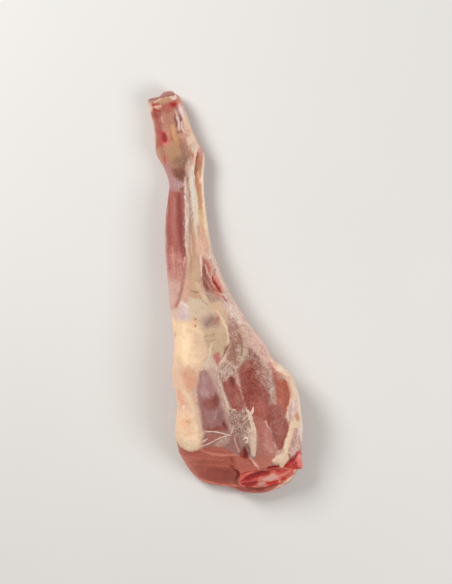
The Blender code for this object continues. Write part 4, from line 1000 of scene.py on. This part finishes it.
# The leg's width and its middle line, at places along it from the rump's cut to the hock.
ALONG_LEG = (-160, -90, -40, 20, 90, 150, 230)
LEG_WIDTHS = (66, 64, 46, 32, 24, 20, 18)
LEG_MIDDLES = (0, 0, -8, -15, -11, -2, -8)
# The width to which the fibres are evened out.
EVEN_WIDTH = 40
# Inside the knee the fibres slant: the place they turn about, the turn's cosine and sine, and how they spread.
SLANT_ABOUT = (22, -78)
SLANT_TURN = (0.77, 0.64)
SLANT_START = 14
SLANT_SPREAD = 0.7
# The cosine and sine of the turn of the fibres on the rump's cut.
CUT_TURN = (0.93, 0.36)


def grain_of(points, seen):
    """Coordinates that run along and across the muscle fibres, which narrow towards the hock as the leg does."""
    width = np.interp(seen[:, 1], ALONG_LEG, LEG_WIDTHS)
    middle = np.interp(seen[:, 1], ALONG_LEG, LEG_MIDDLES)
    across = (seen[:, 0] - middle) / width * EVEN_WIDTH
    along = seen[:, 1]
    slanting = smooth_step((seen[:,
            0] + 14) / 10) * smooth_step((-48 - along) / 16) * smooth_step((along + 112) / 24)
    off_s, off_t = seen[:, 0] - SLANT_ABOUT[0], along - SLANT_ABOUT[1]
    slant_across = SLANT_START + (off_s * SLANT_TURN[0] - off_t * SLANT_TURN[1]) * SLANT_SPREAD
    slant_along = SLANT_ABOUT[1] + off_s * SLANT_TURN[1] + off_t * SLANT_TURN[0]
    across = across * (1 - slanting) + slant_across * slanting
    along = along * (1 - slanting) + slant_along * slanting
    on_cut = smooth_step((-points[:, 1] - 160) / 14) * smooth_step((20 - seen[:, 0]) / 20)
    turned = seen[:, 0] * CUT_TURN[0] - seen[:, 1] * CUT_TURN[1]
    turned_across = seen[:, 0] * CUT_TURN[1] + seen[:, 1] * CUT_TURN[0]
    across = across * (1 - on_cut) + turned_across * on_cut
    along = along * (1 - on_cut) + turned * on_cut
    return np.stack([across, along, points[:, 2]], axis=1)


def set_attribute(mesh, name, values):
    kinds = {1: ("FLOAT", "value"), 3: ("FLOAT_VECTOR", "vector"), 4: ("FLOAT_COLOR", "color")}
    kind, field = kinds[1 if values.ndim == 1 else values.shape[1]]
    mesh.attributes.new(name, kind, "POINT").data.foreach_set(field, values.astype(np.float32).ravel())


# How high the fine relief stands: of the lobes of fat, the frost, the fibres and the broad swell of the flesh.
LOBE_RELIEF = 0.45
FROST_RELIEF = 0.14
FIBRE_RELIEF = 0.12
SWELL_RELIEF = 0.35
# How much streaks and mottling change the colour, and by how many levels frost speckles it, its pale specks partly
# painted glints.
STREAKS = 0.07
MOTTLES = 0.035
SPECKLES_AND_GLINTS = 10


def finish_surface(mesh, patches, seed, lying_side=False):
    """Raises the relief of the patches and the fine relief of their tissues, then stores colour and looks."""
    points, normals = mesh_points(mesh), mesh_normals(mesh)
    broad = spread(mesh, normals, 18)
    light = light_on(points, broad / np.linalg.norm(broad, axis=1)[:, None])
    seen, colour, looks, lift = paint(points, normals, patches, seed)
    if lying_side:
        paint_outer_side(points, normals, colour, looks)
    fibre, frost, lobes, rough = looks.T
    grain = grain_of(points, seen)
    fine = LOBE_RELIEF * lobes * fractal(points, 8, seed + 21) + FROST_RELIEF * frost * fractal(points, 4, seed + 22)
    fine += FIBRE_RELIEF * fibre * fractal(grain, (3.2, 30, 6), seed + 23) + SWELL_RELIEF * fractal(points, 22, seed + 24, 2)
    resting = smooth_step(points[:, 2] / 4)
    points += normals * ((lift + fine) * resting)[:, None]
    points[:, 2] = np.maximum(points[:, 2], 0)
    set_points(mesh, points)
    streak = fractal(grain, (1.5, 34, 5), seed + 31) * fibre + 0.5 * fractal(grain, (4, 60, 9),
            seed + 32) * fibre
    mottle = fractal(points, 8, seed + 33) * (0.5 + 0.5 * lobes)
    # Frost speckle: pale and dark specks, the pale ones partly painted glints of wet membrane.
    speckle_and_glint = np.clip(fractal(points, 2.6, seed + 34, 2) * 2, -1, 1) * frost
    colour = colour * (1 + STREAKS * streak + MOTTLES * mottle)[:, None] + SPECKLES_AND_GLINTS * speckle_and_glint[:, None]
    tint = np.concatenate([own_colour(colour, light), np.ones((len(colour), 1))], axis=1)
    set_attribute(mesh, "tint", tint)
    set_attribute(mesh, "grain", grain / 10)
    for name, values in zip(LOOKS, looks.T):
        set_attribute(mesh, name, values)


# ---------------------------------------------------------------- materials

class Nodes:
    """A small helper that adds nodes to a material and links them."""

    def __init__(self, name):
        self.material = bpy.data.materials.new(name)
        self.material.use_nodes = True
        self.tree = self.material.node_tree
        self.shader = self.tree.nodes["Principled BSDF"]

    def add(self, kind, settings=None, **inputs):
        node = self.tree.nodes.new("ShaderNode" + kind)
        for key, value in (settings or {}).items():
            setattr(node, key, value)
        for key, value in inputs.items():
            self.put(node.inputs[int(key[1:]) if key[0] == "i" and key[1:].isdigit() else key.replace("_",
                    " ")], value)
        return node

    def put(self, socket, value):
        if isinstance(value, bpy.types.NodeSocket):
            self.tree.links.new(value, socket)
        else:
            socket.default_value = value

    def value(self, name):
        return self.add("Attribute", {"attribute_name": name}).outputs["Fac"]

    def vector(self, name):
        return self.add("Attribute", {"attribute_name": name}).outputs["Vector"]

    def math(self, operation, a, b=0.0, c=0.0):
        return self.add("Math", {"operation": operation}, i0=a, i1=b, i2=c).outputs[0]

    def noise(self, vector, scale, detail=3.0, roughness=0.55):
        return self.add("TexNoise", None, Vector=vector, Scale=scale, Detail=detail,
                Roughness=roughness).outputs["Fac"]

    def stretched(self, vector, scale):
        return self.add("Mapping", None, Vector=vector, Scale=scale).outputs[0]

    def ramp(self, value, low, high, to_low=0.0, to_high=1.0):
        node = self.add("MapRange", {"interpolation_type": "SMOOTHSTEP"}, i0=value, i1=low, i2=high,
                i3=to_low, i4=to_high)
        return node.outputs[0]

    def mix(self, share, a, b, way="MIX"):
        node = self.add("Mix", {"data_type": "RGBA", "blend_type": way})
        self.put(node.inputs[0], share)
        self.put(node.inputs[6], a)
        self.put(node.inputs[7], b)
        return node.outputs[2]


def wet_tissue(name, wetness=0.35, depth=0.0016):
    """Raw tissue: the painted tint with fibres, lobes of fat, frosty specks whose pale flecks are partly painted
    glints, and a film of moisture over them.
    """
    n = Nodes(name)
    place = n.add("TexCoord").outputs["Object"]
    fine = n.stretched(place, (1000, 1000, 1000))
    grain = n.vector("grain")
    fibre, frost, lobes = n.value("fibre"), n.value("frost"), n.value("lobes")
    strands = n.noise(n.stretched(grain, (14, 0.9, 5)), 1.0, 4, 0.6)
    bundles = n.noise(n.stretched(grain, (4.5, 0.35, 2)), 1.0, 3, 0.5)
    mottling = n.noise(fine, 0.22, 4, 0.6)
    clusters = n.noise(fine, 0.11, 3, 0.6)
    grit = n.noise(fine, 0.85, 3, 0.65)
    weave = n.noise(n.stretched(grain, (8, 4.5, 6)), 1.0, 4, 0.85)
    flecks = n.noise(n.stretched(grain, (11, 7, 9)), 1.0, 4, 0.8)
    drawn = n.noise(n.stretched(grain, (7, 1.8, 4)), 1.0, 3, 0.7)
    colour = n.add("Attribute", {"attribute_name": "tint"}).outputs["Color"]
    darker = n.mix(1.0, colour, (0.60, 0.50, 0.47, 1), "MULTIPLY")
    paler = n.mix(1.0, n.mix(1.0, colour, (1.3, 1.3, 1.3, 1), "MULTIPLY"), (0.02, 0.02, 0.02, 1), "ADD")
    # A pale tone for frosty streaks and flecks, the flecks partly painted glints.
    frost_and_glint_tone = n.mix(0.40, colour, (0.92, 0.76, 0.68, 1))
    colour = n.mix(n.math("MULTIPLY", n.ramp(strands, 0.52, 0.78), n.math("MULTIPLY", fibre, 0.55)),
            colour, darker)
    colour = n.mix(n.math("MULTIPLY", n.ramp(bundles, 0.50, 0.80), n.math("MULTIPLY", fibre, 0.65)),
            colour, paler)
    colour = n.mix(n.math("MULTIPLY", n.ramp(mottling, 0.55, 0.80), 0.35), colour, darker)
    colour = n.mix(n.math("MULTIPLY", n.ramp(mottling, 0.50, 0.20), 0.30), colour, paler)
    gathered = n.ramp(clusters, 0.36, 0.62, 0.35, 1.0)
    woven = n.math("MULTIPLY_ADD", fibre, 0.60, n.math("MULTIPLY_ADD", frost, 0.25, 0.16))
    strength = n.math("MULTIPLY", woven, gathered)
    colour = n.mix(n.math("MULTIPLY", n.ramp(weave, 0.50, 0.58), strength), colour, paler)
    colour = n.mix(n.math("MULTIPLY", n.ramp(weave, 0.50, 0.42), strength), colour, darker)
    specks_and_glints = n.math("MULTIPLY", frost, gathered)
    colour = n.mix(n.math("MULTIPLY", n.ramp(drawn, 0.50, 0.60), n.math("MULTIPLY", frost, 0.55)), colour,
            frost_and_glint_tone)
    colour = n.mix(n.math("MULTIPLY", n.ramp(drawn, 0.48, 0.38), n.math("MULTIPLY", frost, 0.55)), colour,
            darker)
    # Pale flecks where the frost gathers: partly frosty membrane, partly painted glints.
    colour = n.mix(n.math("MULTIPLY", n.ramp(flecks, 0.47, 0.60), specks_and_glints), colour, frost_and_glint_tone)
    colour = n.mix(n.math("MULTIPLY", n.ramp(flecks, 0.48, 0.36), n.math("MULTIPLY", specks_and_glints, 0.6)), colour,
            darker)
    n.put(n.shader.inputs["Base Color"], colour)
    rough = n.math("ADD", n.value("rough"), n.math("MULTIPLY", n.math("SUBTRACT", grit, 0.5), 0.25))
    n.put(n.shader.inputs["Roughness"], rough)
    n.put(n.shader.inputs["IOR"], 1.36)
    n.put(n.shader.inputs["Specular IOR Level"], 0.4)
    n.put(n.shader.inputs["Coat Weight"], n.ramp(n.value("rough"), 0.5, 0.2, 0.0, wetness))
    n.put(n.shader.inputs["Coat Roughness"], 0.18)
    n.put(n.shader.inputs["Subsurface Weight"], 0.10)
    n.put(n.shader.inputs["Subsurface Radius"], (1.0, 0.42, 0.28))
    n.put(n.shader.inputs["Subsurface Scale"], 0.003)
    height = n.math("MULTIPLY", strands, n.math("MULTIPLY", fibre, 0.5))
    height = n.math("ADD", height, n.math("MULTIPLY", mottling, n.math("MULTIPLY_ADD", lobes, 0.7, 0.25)))
    height = n.math("ADD", height, n.math("MULTIPLY", flecks, n.math("MULTIPLY_ADD", frost, 0.9, 0.1)))
    height = n.math("ADD", height, n.math("MULTIPLY", grit, 0.15))
    bump = n.add("Bump", None, Strength=0.55, Distance=depth, Height=height)
    n.put(n.shader.inputs["Normal"], bump.outputs[0])
    return n.material


def pale_table():
    n = Nodes("pale table")
    place = n.add("TexCoord").outputs["Object"]
    cloud = n.noise(place, 3.0, 4, 0.5)
    n.put(n.shader.inputs["Base Color"], n.mix(cloud, (0.60, 0.585, 0.56, 1), (0.64, 0.625, 0.60, 1)))
    n.put(n.shader.inputs["Roughness"], n.ramp(cloud, 0.2, 0.8, 0.62, 0.72))
    return n.material


# ---------------------------------------------------------------- pieces

# How far the bones reach out into the flesh around them, so that no gap shows.
BONE_REACH = 0.5


def leg_piece(material):
    mesh = finer_copy("leg_meat", "leg", 1.15)
    even_out(mesh, 12)
    finish_surface(mesh, KNEE + HOCK + HEEL + SHANK + CALF + THIGH + RUMP + CUT, 7, lying_side=True)
    leg = link("leg_of_lamb", mesh, material)
    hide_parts("leg_meat")
    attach(leg, "root")
    return leg


def bone_piece(node, name, patches, voxel, material):
    mesh = finer_copy(node, name, voxel)
    even_out(mesh, 2)
    set_points(mesh, mesh_points(mesh) + mesh_normals(mesh) * BONE_REACH)
    finish_surface(mesh, patches, 60)
    bone = link(name, mesh, material)
    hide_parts(node)
    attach(bone, "root")
    return bone


# Fascia that lies loose on the flesh: its path, its width at each point, how thick it is and its colour.
Strip = namedtuple("Strip", "path widths thick colour")
STRIPS = [
    Strip([(12.5, -126), (13, -134), (14, -142), (13.6, -150), (11.6, -160), (9.6, -169), (7.6, -178)],
          (1.4, 5.5, 4.5, 6.5, 7.5, 7, 4.5), 1.0, (226, 192, 170)),
    Strip([(19.5, -124), (16.5, -129), (13.4, -133)], (1, 3.4, 3), 0.8, (230, 188, 170)),
    Strip([(10.6, -123), (11.6, -128), (12.6, -133)], (0.8, 1.6, 1.8), 0.7, (232, 196, 178)),
    Strip([(-39, -140), (-29, -142), (-20, -146), (-13, -149)], (1, 1.9, 2, 1), 0.8, (226, 192, 176)),
    Strip([(-12.6, -149), (-9, -145), (-6, -140)], (1.2, 1.8, 0.8), 0.6, (214, 186, 168)),
    Strip([(-46, -155), (-37, -153.6), (-28, -151), (-18, -149.4), (-10, -149.6)], (1.2, 2, 1.6, 1.8, 0.9),
            0.8, (220, 184, 164)),
    Strip([(-45, -151.6), (-41, -149.6), (-37, -148)], (1.4, 2.8, 1.2), 0.7, (224, 188, 164)),
    Strip([(-26, -156), (-20, -153), (-14, -149.6)], (0.7, 1.2, 0.7), 0.5, (206, 166, 152)),
    Strip([(-21, -161), (-17, -155), (-13, -150)], (0.7, 1.1, 0.6), 0.5, (200, 160, 148)),
    Strip([(4, -137), (8, -133.4), (13, -131)], (0.8, 1.6, 1), 0.6, (224, 184, 170)),
    Strip([(3, -141), (8, -138), (12.6, -135)], (0.7, 1.2, 0.8), 0.5, (220, 180, 166)),
    Strip([(-6.6, -127), (-4.6, -123.6), (-1.6, -123), (-0.4, -125.6)], (0.9, 1.5, 1.4, 0.8), 0.8,
            (222, 192, 178)),
    Strip([(1, -157), (3.6, -155.4), (5.4, -157.6), (4.6, -160.6), (2, -160.4)], (1.6, 2.6, 2.2, 2.4, 1.4),
            1.3, (244, 206, 194)),
]


def strip_mesh(strips, surface):
    """Soft flat strips laid on a surface along their paths, a little crumpled and thinner at their edges."""
    tree = BVHTree.FromObject(surface, bpy.context.evaluated_depsgraph_get())
    bm = bmesh.new()
    tint = bm.verts.layers.float_color.new("tint")
    rng = np.random.default_rng(5)
    eye = np.array([*(np.array(CAMERA_OVER) + FEATURE_ORIGIN), CAMERA_RISE + TRUE_SCALE_Z])

    def on_surface(place):
        target = np.array([*(place + FEATURE_ORIGIN), TRUE_SCALE_Z])
        ray = Vector(target - eye).normalized()
        hit, normal, _, _ = tree.ray_cast(Vector(eye * MM), ray)
        return hit / MM, normal

    for strip in strips:
        path = curve_through(strip.path, steps=7)
        widths = np.interp(np.linspace(0, 1, len(path)), np.linspace(0, 1, len(strip.widths)), strip.widths)
        sideways = np.gradient(path, axis=0)[:, ::-1] * (-1, 1)
        sideways /= np.hypot(*sideways.T)[:, None]
        crumple = np.convolve(rng.normal(0, 1, len(path) + 6), np.ones(7) / 7, "valid")
        rings = []
        for i, (place, width) in enumerate(zip(path, widths)):
            centre, normal = on_surface(place + sideways[i] * crumple[i] * 0.3)
            side = Vector((*sideways[i], 0))
            side = (side - normal * side.dot(normal)).normalized()
            ring = []
            for k in range(12):
                a = 2 * math.pi * k / 12
                across = math.cos(a) * width / 2 * (1 + 0.12 * crumple[i] * math.sin(3 * a))
                up = math.sin(a) * strip.thick / 2 * (1 + 0.3 * abs(math.cos(2 * a))) + strip.thick * 0.22
                ring.append(bm.verts.new((centre + side * across + normal * (up + 0.25 * crumple[i] * strip.thick)) * MM))
            rings.append(ring)
        for near, far in zip(rings, rings[1:]):
            for k in range(12):
                bm.faces.new((near[k], near[(k + 1) % 12], far[(k + 1) % 12], far[k]))
        bm.faces.new(rings[0][::-1])
        bm.faces.new(rings[-1])
        middle = np.array([[*(path[len(path) // 2] + FEATURE_ORIGIN), TRUE_SCALE_Z]])
        linear = own_colour(np.array(strip.colour, float), light_on(middle, np.array([[0, 0, 1]])))[0]
        for i, ring in enumerate(rings):
            for vert in ring:
                vert[tint] = (*(linear * (1 + 0.06 * crumple[i])), 1)
    bmesh.ops.recalc_face_normals(bm, faces=bm.faces)
    mesh = bpy.data.meshes.new("strips")
    bm.to_mesh(mesh)
    bm.free()
    points = mesh_points(mesh)
    set_attribute(mesh, "grain", grain_of(points, seen_from_above(points)) / 10)
    for name, value in zip(LOOKS, FASCIA):
        set_attribute(mesh, name, np.full(len(points), value))
    mesh.shade_smooth()
    return mesh


def strips_piece(surface, material):
    strips = link("loose_fascia", strip_mesh(STRIPS, surface), material)
    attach(strips, "root")


# ---------------------------------------------------------------- studio

def table_top():
    bpy.ops.mesh.primitive_plane_add(size=6, location=(0, 0, -0.0002))
    floor = bpy.context.object
    floor.name = "table_top"
    floor.data.materials.append(pale_table())


def studio():
    """Soft light from above on both sides, and a pale sky."""
    world = bpy.data.worlds.new("studio")
    world.use_nodes = True
    sky = world.node_tree.nodes["Background"].inputs
    sky["Color"].default_value = (1.0, 0.985, 0.965, 1)
    sky["Strength"].default_value = SKY
    bpy.context.scene.world = world
    for lamp in LAMPS:
        light = bpy.data.lights.new(lamp.name, "AREA")
        light.size, light.energy = lamp.size, lamp.watts
        obj = bpy.data.objects.new(lamp.name, light)
        obj.location = lamp.place
        obj.rotation_euler = (-Vector(lamp.place)).to_track_quat("-Z", "Y").to_euler()
        bpy.context.scene.collection.objects.link(obj)
    bpy.context.scene.view_settings.view_transform = "Standard"


def camera_above():
    """A camera that looks straight down, turned so that the leg leans to the left in its picture."""
    lean = math.radians(LEAN_DEG)
    camera = bpy.data.cameras.new("camera")
    camera.lens, camera.sensor_width = LENS, SENSOR
    obj = bpy.data.objects.new("camera", camera)
    s, t = np.array(CAMERA_OVER) + FEATURE_ORIGIN
    place = Matrix.Translation((s * MM, t * MM, (CAMERA_RISE + TRUE_SCALE_Z) * MM))
    obj.matrix_world = place @ Matrix.Rotation(-lean, 4, "Z")
    bpy.context.scene.collection.objects.link(obj)
    bpy.context.scene.camera = obj


def main():
    camera_above()
    tissue = wet_tissue("raw tissue")
    leg = leg_piece(tissue)
    bone_piece("hip_bone", "sawn_hip_bone", HIP_BONE, 0.8, wet_tissue("sawn bone", 0.5, 0.001))
    bone_piece("hock_bone", "hock_joint_end", HOCK_BONE, 0.7, wet_tissue("joint gristle", 0.5, 0.0006))
    strips_piece(leg, wet_tissue("fascia", 0.5, 0.0004))
    table_top()
    studio()


main()
